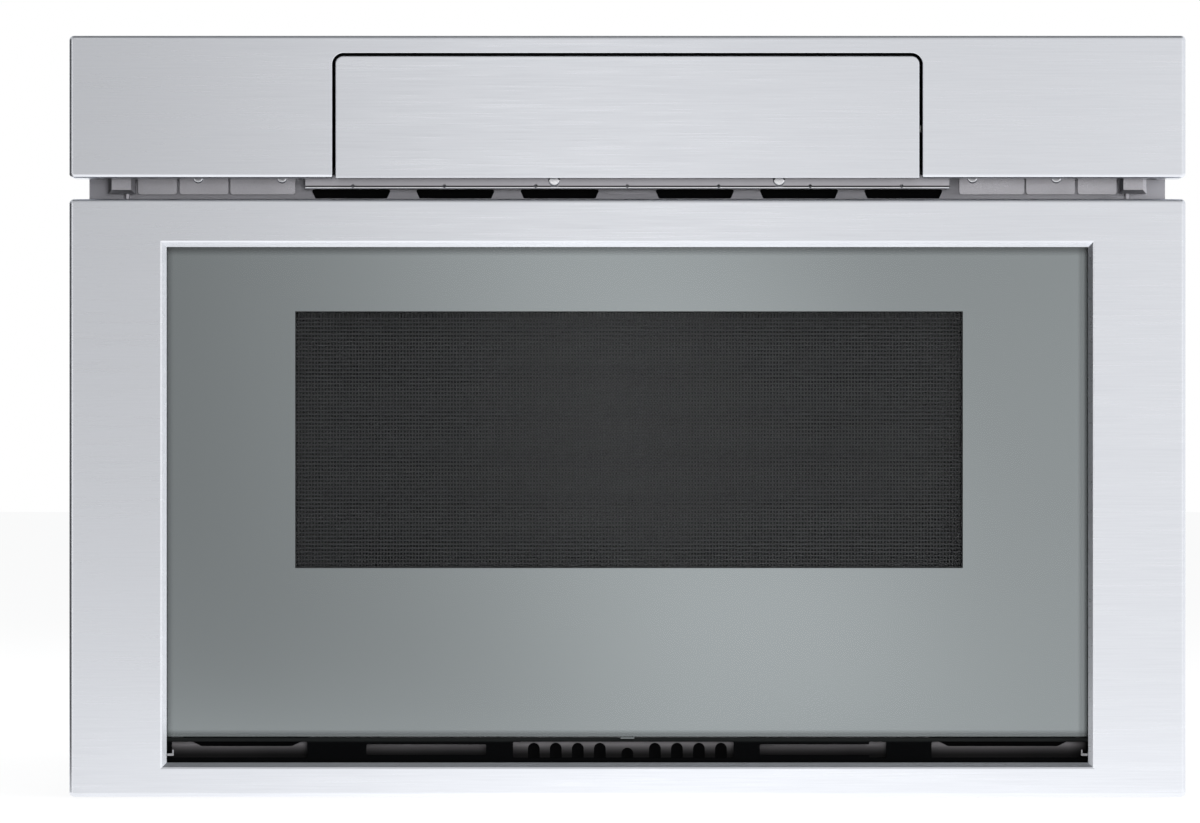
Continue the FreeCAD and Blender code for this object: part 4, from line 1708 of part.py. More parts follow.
def filter_board():
    """Mains filter board on the rear panel, above the cord gland."""
    width, height = FILTER_BOARD
    outwards, rise = FILTER_BOARD_PLACE
    foot_r, foot_length = FILTER_STANDOFF
    coil_r, coil_bore_r, coil_length = FILTER_COIL
    can_width, can_depth, can_height = FILTER_CAPACITOR
    x0 = -CAVITY_INNER - outwards
    z0 = BASE_TOP + rise
    back = REAR_INNER - foot_length
    front = back - BOARD_THICK
    inset = 2 * foot_r
    pieces = [block((x0, x0 + width), (front, back), (z0, z0 + height))]
    pieces += [rod(Vector(x0 + dx, back, z0 + dz), Y_AXIS, foot_r, foot_length)
               for dx in (inset, width - inset) for dz in (inset, height - inset)]
    coil_at = Vector(x0 + width / 2, front - coil_length, z0 + height * 0.3)
    coil = rod(coil_at, Y_AXIS, coil_r, coil_length)
    pieces.append(coil.cut(rod(coil_at.sub(Y_AXIS), Y_AXIS, coil_bore_r, coil_length * 0.7)))
    can_x = x0 + (width - can_width) / 2
    can_z = z0 + height * 0.63
    pieces.append(block((can_x, can_x + can_width), (front - can_depth, front), (can_z, can_z + can_height)))
    return joined(pieces)


def oven_lamp():
    """Lamp in its socket box on the cavity's right wall."""
    at = lamp_place()
    width, depth, height = LAMP_BOX
    socket_r, socket_height = LAMP_SOCKET
    inside = LAMP_SHELL
    shell = block((at.x, at.x + width), (at.y, at.y + depth), (at.z, at.z + height))
    room = block((at.x - SHEET, at.x + width - inside), (at.y + inside, at.y + depth - inside),
                 (at.z + inside, at.z + height - inside))
    foot = Vector(at.x + width / 2, at.y + depth / 2, at.z)
    socket = rod(foot, Z_AXIS, socket_r, socket_height)
    bulb = Part.makeSphere(BULB_R, foot.add(Z_AXIS * (height * 0.55)))
    return joined([shell.cut(room), socket, bulb])


def thermal_cutout(at, outward):
    """Button thermostat with its mounting ear."""
    radius, height = CUTOUT
    ear_r, ear_thick = CUTOUT_EAR
    return rod(at, outward, radius, height).fuse(rod(at, outward, ear_r, ear_thick))


def thermal_cutouts():
    """Button thermostats on the ceiling and on the magnetron."""
    on_ceiling = Vector(CAVITY_HALF / 2, STIRRER_Y - DOME_R - 2 * CUTOUT_EAR[0], CEILING_TOP)
    on_yoke = Vector(MAGNETRON_HALF[0], MAGNETRON_Y, CEILING_TOP - MAGNETRON_HEIGHT / 2)
    return Part.makeCompound([thermal_cutout(on_ceiling, Z_AXIS), thermal_cutout(on_yoke, X_AXIS)])


def interlock_switches():
    """Switch blocks behind the flange that the latch hooks enter."""
    slot_half, slot_half_height = LATCH_SLOT
    blade_half, blade_length, blade_thick = SWITCH_BLADE
    z = (LATCH_Z - slot_half_height - SWITCH_WALL_LOW, LATCH_Z + slot_half_height + SWITCH_WALL_TOP)
    body = block((LATCH_X - SWITCH_HALF, LATCH_X + SWITCH_HALF), (0, SWITCH_DEPTH), z)
    room = block((LATCH_X - slot_half, LATCH_X + slot_half), (-SHEET, HOOK_REACH + HOOK_HALF),
                 (LATCH_Z - slot_half_height, LATCH_Z + slot_half_height))
    pieces = [body.cut(room)]
    for index in (-1, 0, 1):
        blade_z = LATCH_Z + index * SWITCH_BLADE_PITCH
        pieces.append(block((LATCH_X - blade_half, LATCH_X + blade_half),
                            (SWITCH_DEPTH, SWITCH_DEPTH + blade_length), (blade_z, blade_z + blade_thick)))
    return both_sides(joined(pieces))


def side_panels():
    """Left and right side sheets."""
    return both_sides(side_panel_right())


def cavity_walls():
    """Left, right and rear walls of the cavity."""
    return Part.makeCompound([cavity_side_left(), cavity_side_right(), cavity_rear()])


def circuit_boards():
    """Control board over the ceiling and mains filter board on the rear panel."""
    return Part.makeCompound([control_board(), filter_board()])


def outer_rails():
    """Fixed members of both slides."""
    return both_sides(outer_rail_right())


def inner_rails():
    """Moving members of both slides."""
    return both_sides(inner_rail_right())


def middle_rail_left():
    """Middle member of the left slide."""
    return left_of(middle_rail_right())


def drawer_walls():
    """Left, right and rear walls of the drawer box."""
    right = drawer_wall_right()
    return Part.makeCompound([right, left_of(right), drawer_wall_rear()])


CHASSIS = [base_pan, side_panels, top_cover, rear_panel, panel_screws, cord_gland, front_flange,
           reveal_plates, bumper_blocks, ledge_bar, reveal_screws, control_fascia, flap_housing,
           flap_gearmotor]
CAVITY = [cavity_floor, cavity_ceiling, cavity_walls, stirrer_cover, waveguide, magnetron, stirrer_motor,
          hv_transformer, hv_capacitor, fan_shroud, fan_motor, circuit_boards, oven_lamp, thermal_cutouts]
GUIDES = [interlock_switches, outer_rails, rail_brackets, drive_gearmotor, shaft_bearing, rack_guide]
DRAWER = [drawer_front_frame, door_glass, glass_carrier, window_screen, lower_grille, vent_baffle,
          door_core, choke_cover, inner_pane, latch_hooks, drawer_floor, drawer_walls, floor_plate,
          inner_rails, drive_rack]
MOVING = [middle_rail_right, middle_rail_left, drive_pinion, fan_impeller, stirrer, flap_pinion]
FLAP = [flap_face, flap_tray, touch_glass, display_board, flap_sector]


def main():
    """Write one STEP file per sub-part, each named after the function that makes it."""
    os.makedirs("parts", exist_ok=True)
    for make in CHASSIS + CAVITY + GUIDES + DRAWER + MOVING + FLAP:
        shape = make()
        shape.translate(FRAME_SHIFT)
        shape.exportStep(f"parts/{make.__name__}.step")


main()
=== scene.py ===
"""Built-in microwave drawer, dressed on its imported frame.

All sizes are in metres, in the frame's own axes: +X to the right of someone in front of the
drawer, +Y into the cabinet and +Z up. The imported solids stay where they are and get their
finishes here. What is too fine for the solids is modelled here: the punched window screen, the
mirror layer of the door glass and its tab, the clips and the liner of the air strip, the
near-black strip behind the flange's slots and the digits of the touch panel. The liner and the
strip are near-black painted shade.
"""

import json
import logging
import math
from abc import ABC, abstractmethod
from dataclasses import dataclass, field
from enum import Enum
from typing import Callable, ClassVar, Iterable, Sequence

import bmesh
import bpy
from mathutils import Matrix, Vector

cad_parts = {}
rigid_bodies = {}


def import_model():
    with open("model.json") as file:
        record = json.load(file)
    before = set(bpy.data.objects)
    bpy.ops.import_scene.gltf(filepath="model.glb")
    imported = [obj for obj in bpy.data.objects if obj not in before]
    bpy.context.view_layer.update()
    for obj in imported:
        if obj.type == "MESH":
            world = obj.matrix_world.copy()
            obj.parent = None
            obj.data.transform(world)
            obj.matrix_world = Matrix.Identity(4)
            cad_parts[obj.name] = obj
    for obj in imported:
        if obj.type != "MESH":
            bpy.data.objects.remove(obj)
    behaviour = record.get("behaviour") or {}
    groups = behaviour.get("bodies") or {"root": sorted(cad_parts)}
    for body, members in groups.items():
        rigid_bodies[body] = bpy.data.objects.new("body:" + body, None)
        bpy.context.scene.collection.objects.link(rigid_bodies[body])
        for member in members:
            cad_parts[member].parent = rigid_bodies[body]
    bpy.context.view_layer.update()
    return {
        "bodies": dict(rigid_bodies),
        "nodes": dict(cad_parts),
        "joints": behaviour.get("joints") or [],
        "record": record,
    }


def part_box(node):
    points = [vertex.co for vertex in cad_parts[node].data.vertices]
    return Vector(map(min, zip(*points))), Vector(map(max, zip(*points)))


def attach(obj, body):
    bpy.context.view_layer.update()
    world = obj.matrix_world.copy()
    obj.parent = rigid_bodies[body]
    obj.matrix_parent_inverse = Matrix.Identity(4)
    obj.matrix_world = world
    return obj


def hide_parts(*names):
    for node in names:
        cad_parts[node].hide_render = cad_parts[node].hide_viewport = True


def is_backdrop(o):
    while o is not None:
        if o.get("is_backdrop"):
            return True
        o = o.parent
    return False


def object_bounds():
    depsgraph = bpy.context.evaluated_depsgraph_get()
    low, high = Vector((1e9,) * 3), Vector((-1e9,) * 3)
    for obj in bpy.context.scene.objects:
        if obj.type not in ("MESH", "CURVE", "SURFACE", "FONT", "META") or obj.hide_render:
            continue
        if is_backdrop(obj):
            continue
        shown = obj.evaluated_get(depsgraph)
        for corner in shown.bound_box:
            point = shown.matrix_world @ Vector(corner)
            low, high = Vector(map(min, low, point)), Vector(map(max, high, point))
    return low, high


LOG = logging.getLogger("microwave_drawer")

Colour = tuple[float, float, float]
Point = tuple[float, float, float]
Range = tuple[float, float]  # two ends of something
Stop = tuple[float, float]  # place along a ramp, and the grey there
Strip = tuple[float, float, float]  # width, fade to either side of it, and the share of the colour that a strip of painted shade leaves
Socket = bpy.types.NodeSocket

WHITE: Colour = (1.0, 1.0, 1.0)
WHOLE: Range = (0.0, 1.0)
CLOUD_ENDS: Range = (0.3, 0.7)  # most of a noise lies between these
GRAZING_POWER = 5.0  # how late a clear pane turns into a mirror
SHARP_EDGE = math.radians(35)


class Axis(Enum):
    """Axis of the frame along which something runs."""

    X = 0
    Y = 1
    Z = 2


def shade(colour: Colour, factor: float) -> Colour:
    """Colour times a factor, at most white."""
    return tuple(min(c * factor, 1.0) for c in colour)


# ---------------------------------------------------------------- node trees


class Wiring:
    """Node tree of a material or a world, put together node by node."""

    def __init__(self, tree: bpy.types.NodeTree, output: str, coordinates: str = "Object") -> None:
        """Empties a tree and starts it again.

        Args:
            tree: The tree.
            output: Type name of its output node.
            coordinates: Which texture coordinates its patterns read.
        """
        self.tree = tree
        self.tree.nodes.clear()
        self.output = self.tree.nodes.new(output)
        self.coords = self.tree.nodes.new("ShaderNodeTexCoord").outputs[coordinates]

    def feed(self, socket: Socket, value: object) -> None:
        """Links an input, or gives it a plain value.

        Args:
            socket: The input.
            value: Output of another node, a number, a vector or a colour.
        """
        if isinstance(value, Socket):
            self.tree.links.new(value, socket)
        elif socket.type == "RGBA":
            socket.default_value = (*value, 1.0)
        else:
            socket.default_value = value

    def add(self, kind: str, inputs: dict[int | str, object], **options: object) -> bpy.types.Node:
        """Adds a node.

        Args:
            kind: Type name of the node.
            inputs: Values or sockets for its inputs.
            **options: Properties of the node itself.

        Returns:
            The new node.
        """
        node = self.tree.nodes.new(kind)
        for key, value in options.items():
            setattr(node, key, value)
        for key, value in inputs.items():
            self.feed(node.inputs[key], value)
        return node

    def along(self, axis: Axis) -> Socket:
        """Texture coordinate along one axis."""
        return self.add("ShaderNodeSeparateXYZ", {"Vector": self.coords}).outputs[axis.value]

    def maths(self, what: str, *values: object) -> Socket:
        """One Math node on numbers or sockets."""
        return self.add("ShaderNodeMath", dict(enumerate(values)), operation=what).outputs["Value"]

    def span(self, value: Socket, wanted: Range, given: Range = WHOLE) -> Socket:
        """Maps one range of a value to another, and holds it beyond the ends.

        Args:
            value: The value.
            wanted: What its ends become.
            given: The ends themselves.

        Returns:
            The mapped value.
        """
        ends = dict(zip(("From Min", "From Max", "To Min", "To Max"), (*given, *wanted)))
        return self.add("ShaderNodeMapRange", {"Value": value, **ends}).outputs["Result"]

    def ramp(self, value: Socket, stops: Sequence[tuple[float, Colour]],
             constant: bool = False) -> Socket:
        """Colour that changes over the stops.

        Args:
            value: Where along the ramp.
            stops: Places and their colours.
            constant: Keeps each colour up to the next stop.

        Returns:
            The colour.
        """
        node = self.add("ShaderNodeValToRGB", {"Fac": value})
        band = node.color_ramp
        band.interpolation = "CONSTANT" if constant else "LINEAR"
        while len(band.elements) < len(stops):
            band.elements.new(0.5)
        for element, (place, colour) in zip(band.elements, stops):
            element.position = place
            element.color = (*colour, 1.0)
        return node.outputs["Color"]

    def grey(self, value: Socket, stops: Sequence[Stop]) -> Socket:
        """Grey that changes over the stops."""
        return self.ramp(value, [(place, (level, level, level)) for place, level in stops])

    def light(self, kind: str, colour: object, strength: object) -> Socket:
        """Emission or background of a colour and a strength."""
        return self.add(kind, {"Color": colour, "Strength": strength}).outputs[0]

    def either(self, share: Socket, first: Socket, second: Socket) -> Socket:
        """Mixes two shaders; the share is that of the second one."""
        return self.add("ShaderNodeMixShader", {0: share, 1: first, 2: second}).outputs[0]

    def show(self, shader: Socket) -> None:
        """Sends a shader to the output."""
        self.tree.links.new(shader, self.output.inputs["Surface"])


class MaterialTree(Wiring):
    """Wiring of one new material."""

    def __init__(self, name: str) -> None:
        """Starts a material with nothing but its output.

        Args:
            name: Name of the material.
        """
        self.material = bpy.data.materials.new(name)
        self.material.use_nodes = True
        super().__init__(self.material.node_tree, "ShaderNodeOutputMaterial")


class SurfaceTree(MaterialTree):
    """Wiring of one procedural material with a Principled shader."""

    def __init__(self, name: str, colour: Colour, roughness: float, metallic: float) -> None:
        """Starts the material with plain values.

        Args:
            name: Name of the material.
            colour: Plain base colour.
            roughness: Plain roughness.
            metallic: 1 for bare metal.
        """
        super().__init__(name)
        self.material.diffuse_color = (*colour, 1.0)
        self.shader = self.add("ShaderNodeBsdfPrincipled", {
            "Base Color": colour, "Roughness": roughness, "Metallic": metallic})
        self.show(self.shader.outputs["BSDF"])

    def put(self, socket: str, value: object) -> None:
        """Sets or links one input of the shader."""
        self.feed(self.shader.inputs[socket], value)

    def brushed(self, grain: Axis, along: float, across: float) -> Socket:
        """Object coordinates on which a noise runs in lines.

        Args:
            grain: Axis of the lines.
            along: Scale along them.
            across: Scale across them.

        Returns:
            The coordinates.
        """
        scale = [across] * 3
        scale[grain.value] = along
        return self.add("ShaderNodeMapping", {"Vector": self.coords,
                                              "Scale": scale}).outputs["Vector"]

    def noise(self, vector: Socket, scale: float, detail: float = 2.0,
              rough: float = 0.5) -> Socket:
        """Cloudy value between 0 and 1."""
        return self.add("ShaderNodeTexNoise", {"Vector": vector, "Scale": scale, "Detail": detail,
                                               "Roughness": rough}).outputs["Fac"]

    def cells(self, vector: Socket, scale: float, output: str = "Color") -> Socket:
        """Value or distance of a field of cells."""
        return self.add("ShaderNodeTexVoronoi", {"Vector": vector, "Scale": scale}).outputs[output]

    def summed(self, first: Socket, share: float, second: Socket) -> Socket:
        """Sum of two values: a share of the first one and the rest of the second one."""
        return self.maths("ADD", self.maths("MULTIPLY", first, share),
                          self.maths("MULTIPLY", second, 1 - share))

    def lines(self, axis: Axis, pitch: float) -> Socket:
        """Value that goes up and down along an axis."""
        return self.maths("PINGPONG", self.maths("MULTIPLY", self.along(axis), 1 / pitch), 1.0)

    def mix(self, share: Socket, first: object, second: object) -> Socket:
        """Blend of two colours.

        Args:
            share: Share of the second one.
            first: Colour or socket.
            second: Colour or socket.

        Returns:
            The blended colour.
        """
        node = self.add("ShaderNodeMix", {0: share}, data_type="RGBA")
        for socket, value in zip([s for s in node.inputs if s.type == "RGBA"], (first, second)):
            self.feed(socket, value)
        return [s for s in node.outputs if s.type == "RGBA"][0]

    def between(self, axis: Axis, low: float, high: float) -> Socket:
        """Tells where a coordinate lies between two ends.

        Args:
            axis: Axis of the coordinate.
            low: Lower end.
            high: Upper end.

        Returns:
            1 between the ends, and otherwise 0.
        """
        half = (high - low) / 2
        off = self.maths("ABSOLUTE", self.maths("SUBTRACT", self.along(axis), low + half))
        return self.maths("LESS_THAN", off, half)

    def scaled(self, colour: Socket, factor: Socket) -> Socket:
        """Colour times a factor."""
        return self.add("ShaderNodeVectorMath", {0: colour, "Scale": factor},
                        operation="SCALE").outputs["Vector"]

    def tinted(self, value: Socket, colour: Colour, tone: Range,
               ends: Range = CLOUD_ENDS) -> Socket:
        """Shades of one colour that follow a value.

        Args:
            value: The value.
            colour: The plain colour.
            tone: Factors of its darkest and its lightest shade.
            ends: Values at which these are reached.

        Returns:
            The colour.
        """
        return self.ramp(value, [(end, shade(colour, factor)) for end, factor in zip(ends, tone)])

    def roughen(self, value: Socket, plain: float, swing: Range, ends: Range = WHOLE) -> None:
        """Lets the roughness follow a value.

        Args:
            value: The value.
            plain: Plain roughness.
            swing: Change of the roughness at either end.
            ends: Values at which these are reached.
        """
        self.put("Roughness", self.span(value, (plain + swing[0], plain + swing[1]), ends))

    def relief(self, height: Socket, strength: float, depth: float) -> None:
        """Bump of that depth on the whole surface."""
        self.put("Normal", self.add("ShaderNodeBump", {
            "Height": height, "Strength": strength, "Distance": depth}).outputs["Normal"])

    def see_through(self, colour: Colour, mirrored: float) -> None:
        """Lets light straight through, except a mirrored share that grows towards grazing views.

        Args:
            colour: Colour of what passes.
            mirrored: Share that the surface mirrors, seen square on.
        """
        facing = self.add("ShaderNodeLayerWeight", {"Blend": 0.5}).outputs["Facing"]
        share = self.span(self.maths("POWER", facing, GRAZING_POWER), (mirrored, 1.0))
        clear = self.add("ShaderNodeBsdfTransparent", {"Color": colour}).outputs[0]
        self.show(self.either(share, clear, self.shader.outputs[0]))


# ---------------------------------------------------------------- finishes


class Finish(ABC):
    """Finish of a surface, made as one procedural material.

    Attributes:
        name: Name of the material.
        colour: Plain base colour.
        roughness: Plain roughness.
        metallic: 1 for bare metal.

    In the finishes, tone is the darkest and the lightest share of the colour, swing is the change
    of the roughness, bump is the strength and the depth of the relief, and patches are the clouds
    in a metre.
    """

    name: str
    colour: Colour
    roughness: float
    metallic: ClassVar[float] = 0.0

    def build(self) -> bpy.types.Material:
        """Makes the material.

        Returns:
            The new material.
        """
        surface = SurfaceTree(self.name, self.colour, self.roughness, self.metallic)
        self.paint(surface)
        return surface.material

    @abstractmethod
    def paint(self, surface: SurfaceTree) -> None:
        """Adds the patterns to the plain material.

        Args:
            surface: The plain material.
        """


@dataclass(frozen=True)
class BrushedStainless(Finish):
    """Satin stainless sheet, brushed along one axis."""

    name: str = "brushed_stainless"
    colour: Colour = (0.765, 0.782, 0.825)
    spread: float = 0.030  # darker and lighter than the colour
    roughness: float = 0.30
    grain: Axis = Axis.X
    length: float = 0.045
    width: float = 0.0009
    streak_share: float = 0.75  # the rest are broad bands
    band_length: float = 0.35  # shares of the streaks' scales
    band_width: float = 0.18
    streak_rough: float = 0.62
    swing: Range = (0.06, -0.06)
    swing_ends: Range = (0.25, 0.75)
    bump: Range = (0.25, 0.00002)
    metallic: ClassVar[float] = 1.0

    def paint(self, surface: SurfaceTree) -> None:
        """Adds fine streaks over broad bands.

        Args:
            surface: The plain material.
        """
        fine = surface.brushed(self.grain, 1 / self.length, 1 / self.width)
        streaks = surface.noise(fine, 1.0, 3.0, self.streak_rough)
        broad = surface.brushed(self.grain, self.band_length / self.length,
                                self.band_width / self.width)
        both = surface.summed(streaks, self.streak_share, surface.noise(broad, 1.0, 1.0))
        low = tuple(c - self.spread for c in self.colour)
        high = tuple(c + self.spread for c in self.colour)
        surface.put("Base Color", surface.ramp(both, list(zip(CLOUD_ENDS, (low, high)))))
        surface.roughen(both, self.roughness, self.swing, self.swing_ends)
        surface.relief(streaks, *self.bump)


@dataclass(frozen=True)
class SpangledZinc(Finish):
    """Hot-dip galvanised sheet with a low spangle."""

    name: str = "galvanised_sheet"
    colour: Colour = (0.56, 0.575, 0.59)
    spangle: float = 0.011
    roughness: float = 0.38
    warp: float = 0.004  # how far the outlines of the spangles wander
    warps: float = 60.0
    patches: float = 9.0
    spangle_share: float = 0.7
    tone: Range = (0.86, 1.12)
    tone_ends: Range = (0.15, 0.85)
    swing: Range = (-0.07, 0.08)
    bump: Range = (0.12, 0.00005)
    grit: float = 700.0
    metallic: ClassVar[float] = 1.0

    def paint(self, surface: SurfaceTree) -> None:
        """Adds spangles with wandering outlines, and clouds over them.

        Args:
            surface: The plain material.
        """
        warped = surface.add("ShaderNodeTexNoise", {"Vector": surface.coords, "Scale": self.warps,
                                                    "Detail": 1.0}).outputs["Color"]
        bent = surface.add("ShaderNodeVectorMath", {0: warped, 1: (self.warp,) * 3},
                           operation="MULTIPLY").outputs["Vector"]
        at = surface.add("ShaderNodeVectorMath", {0: surface.coords, 1: bent},
                         operation="ADD").outputs["Vector"]
        spangles = surface.cells(at, 1 / self.spangle)
        clouds = surface.noise(surface.coords, self.patches, 3.0)
        both = surface.summed(spangles, self.spangle_share, clouds)
        surface.put("Base Color", surface.tinted(both, self.colour, self.tone, self.tone_ends))
        surface.roughen(spangles, self.roughness, self.swing)
        surface.relief(surface.noise(surface.coords, self.grit), *self.bump)


@dataclass(frozen=True)
class CoatedSteel(Finish):
    """Painted or powder-coated steel with a fine orange peel."""

    name: str
    colour: Colour
    roughness: float = 0.42
    peel: float = 0.0012
    shine: float = 0.5
    patches: float = 14.0
    tone: Range = (0.94, 1.05)
    swing: Range = (-0.06, 0.06)
    bump: Range = (0.35, 0.00003)

    def paint(self, surface: SurfaceTree) -> None:
        """Adds soft patches and the peel.

        Args:
            surface: The plain material.
        """
        surface.put("Specular IOR Level", self.shine)
        fine = surface.noise(surface.coords, 1 / self.peel)
        clouds = surface.noise(surface.coords, self.patches, 3.0)
        surface.put("Base Color", surface.tinted(clouds, self.colour, self.tone))
        surface.roughen(fine, self.roughness, self.swing)
        surface.relief(fine, *self.bump)


@dataclass(frozen=True)
class LippedBar(Finish):
    """Satin bar with painted shade in the crease above its lip; the lip is smoother, and lighter as
    bare steel with a painted highlight.
    """

    name: str
    lip_top: float
    colour: Colour = (0.50, 0.49, 0.52)
    roughness: float = 0.30
    # painted shade: a darker band just above the lip
    crease: float = 0.0007
    crease_shade_share: float = 0.6
    # colour of the lip: lighter as bare steel, and a painted highlight of the rolled edge
    lip: Colour = (0.94, 0.94, 0.95)
    lip_smoother: float = 0.16
    patches: float = 40.0
    tone: Range = (0.95, 1.0)
    swing: float = 0.03
    metallic: ClassVar[float] = 1.0

    def paint(self, surface: SurfaceTree) -> None:
        """Adds soft patches, the painted shade in the crease, and the lip with its painted
        highlight.

        Args:
            surface: The plain material.
        """
        height = surface.along(Axis.Z)
        bare = surface.maths("LESS_THAN", height, self.lip_top)
        folded = surface.maths("LESS_THAN", height, self.lip_top + self.crease)
        clouds = surface.noise(surface.coords, self.patches)
        plain = surface.tinted(clouds, self.colour, self.tone)
        crease_shaded = surface.mix(folded, plain, shade(self.colour, self.crease_shade_share))
        surface.put("Base Color", surface.mix(bare, crease_shaded, self.lip))
        satin = surface.span(clouds, (self.roughness - self.swing, self.roughness + self.swing))
        surface.put("Roughness", surface.maths(
            "SUBTRACT", satin, surface.maths("MULTIPLY", bare, self.lip_smoother)))


@dataclass(frozen=True)
class PaintedShadeBaffle(Finish):
    """Grey coated sheet with painted shade: it gets darker towards its lower edge and its ends."""

    name: str
    colour: Colour = (0.25, 0.24, 0.25)
    roughness: float = 0.5
    # painted shade: share of the colour left at each height above the lower edge
    painted_shade: Sequence[Stop] = ((0.0, 0.03), (0.06, 0.04), (0.25, 0.09), (0.41, 0.17),
                            (0.59, 0.32), (0.76, 0.58), (0.94, 1.0))
    height: Range = (0.0232, 0.0295)
    left_end_shade: Range = (-0.2503, -0.2472)  # where the painted shade at the end is darkest and where it stops
    right_end_shade: Range = (0.2500, 0.2405)
    end_shade_share: float = 0.06
    patches: float = 60.0
    shade_blur: float = 0.06
    shine: float = 0.06
    grit: float = 900.0
    swing: Range = (-0.05, 0.10)
    bump: Range = (0.3, 0.00003)

    def paint(self, surface: SurfaceTree) -> None:
        """Adds the painted shade, with a blurred outline.

        Args:
            surface: The plain material.
        """
        rise = surface.span(surface.along(Axis.Z), WHOLE, self.height)
        clouds = surface.noise(surface.coords, self.patches)
        blurred_shade = surface.maths("MULTIPLY", surface.maths("SUBTRACT", clouds, 0.5), self.shade_blur)
        grey = surface.ramp(surface.maths("ADD", rise, blurred_shade),
                            [(at, shade(self.colour, share)) for at, share in self.painted_shade])
        # painted shade towards either end
        for end in (self.left_end_shade, self.right_end_shade):
            unshaded = surface.span(surface.along(Axis.X), (self.end_shade_share, 1.0), end)
            grey = surface.scaled(grey, unshaded)
        surface.put("Base Color", grey)
        surface.put("Specular IOR Level", self.shine)
        surface.roughen(clouds, self.roughness, self.swing)
        surface.relief(surface.noise(surface.coords, self.grit), *self.bump)


@dataclass(frozen=True)
class GrillePlastic(Finish):
    """Black plastic whose upper bar, close under the glass, is a shade lighter."""

    name: str
    bar_low: float
    colour: Colour = (0.0022, 0.0023, 0.0025)
    roughness: float = 0.55
    shine: float = 0.0
    bar: Colour = (0.0110, 0.0120, 0.0120)
    bar_fade: Range = (-0.0004, 0.0008)  # about the bar's lower edge
    grain: float = 0.0007
    swing: Range = (-0.05, 0.10)
    bump: Range = (0.3, 0.00003)

    def paint(self, surface: SurfaceTree) -> None:
        """Adds the grain and the lighter bar.

        Args:
            surface: The plain material.
        """
        surface.put("Specular IOR Level", self.shine)
        pits = surface.noise(surface.coords, 1 / self.grain, 3.0, 0.6)
        ends = (self.bar_low + self.bar_fade[0], self.bar_low + self.bar_fade[1])
        share = surface.span(surface.along(Axis.Z), WHOLE, ends)
        surface.put("Base Color", surface.mix(share, self.colour, self.bar))
        surface.roughen(pits, self.roughness, self.swing)
        surface.relief(pits, *self.bump)


@dataclass(frozen=True)
class Moulding(Finish):
    """Moulded plastic with a fine spark grain."""

    name: str
    colour: Colour
    roughness: float = 0.48
    grain: float = 0.0006
    shine: float = 0.5
    patches: float = 22.0
    tone: Range = (0.9, 1.1)
    swing: Range = (-0.05, 0.09)
    bump: Range = (0.3, 0.00004)

    def paint(self, surface: SurfaceTree) -> None:
        """Adds soft patches and the grain.

        Args:
            surface: The plain material.
        """
        surface.put("Specular IOR Level", self.shine)
        pits = surface.noise(surface.coords, 1 / self.grain, 3.0, 0.6)
        clouds = surface.noise(surface.coords, self.patches)
        surface.put("Base Color", surface.tinted(clouds, self.colour, self.tone))
        surface.roughen(pits, self.roughness, self.swing)
        surface.relief(pits, *self.bump)


@dataclass(frozen=True)
class BareMetal(Finish):
    """Plain machined, plated or cut metal."""

    name: str
    colour: Colour
    roughness: float
    grain: Axis = Axis.Y
    length: float = 0.02
    width: float = 0.0007
    patches: float = 40.0
    line_share: float = 0.5
    tone: Range = (0.9, 1.08)
    swing: Range = (0.07, -0.05)
    bump: Range = (0.15, 0.00003)
    metallic: ClassVar[float] = 1.0

    def paint(self, surface: SurfaceTree) -> None:
        """Adds fine lines and soft patches.

        Args:
            surface: The plain material.
        """
        fine = surface.brushed(self.grain, 1 / self.length, 1 / self.width)
        lines = surface.noise(fine, 1.0)
        clouds = surface.noise(surface.coords, self.patches, 3.0)
        both = surface.summed(lines, self.line_share, clouds)
        surface.put("Base Color", surface.tinted(both, self.colour, self.tone))
        surface.roughen(both, self.roughness, self.swing, CLOUD_ENDS)
        surface.relief(lines, *self.bump)


@dataclass(frozen=True)
class Enamel(Finish):
    """Glassy enamel with faint specks."""

    name: str
    colour: Colour
    roughness: float = 0.22
    speck: float = 0.0035
    speck_share: float = 0.55
    speck_edge: float = 0.10
    waves: float = 55.0
    swing: Range = (-0.05, 0.07)
    bump: Range = (0.2, 0.00012)

    def paint(self, surface: SurfaceTree) -> None:
        """Adds the specks and a slow waviness.

        Args:
            surface: The plain material.
        """
        spots = surface.cells(surface.coords, 1 / self.speck, "Distance")
        surface.put("Base Color", surface.ramp(spots, [
            (0.0, shade(self.colour, self.speck_share)), (self.speck_edge, self.colour),
            (1.0, self.colour)]))
        waves = surface.noise(surface.coords, self.waves)
        surface.roughen(waves, self.roughness, self.swing)
        surface.relief(waves, *self.bump)


@dataclass(frozen=True)
class ClearGlass(Finish):
    """Clear float glass with a faint tint."""

    name: str
    passing: Colour
    mirrored: float = 0.005
    roughness: float = 0.03
    colour: Colour = (0.96, 0.98, 0.98)  # of what it mirrors
    patches: float = 30.0
    swing: Range = (0.0, 0.02)
    metallic: ClassVar[float] = 1.0

    def paint(self, surface: SurfaceTree) -> None:
        """Adds a faint film and lets the light through.

        Args:
            surface: The plain material.
        """
        film = surface.noise(surface.coords, self.patches, 3.0)
        surface.roughen(film, self.roughness, self.swing)
        surface.see_through(self.passing, self.mirrored)


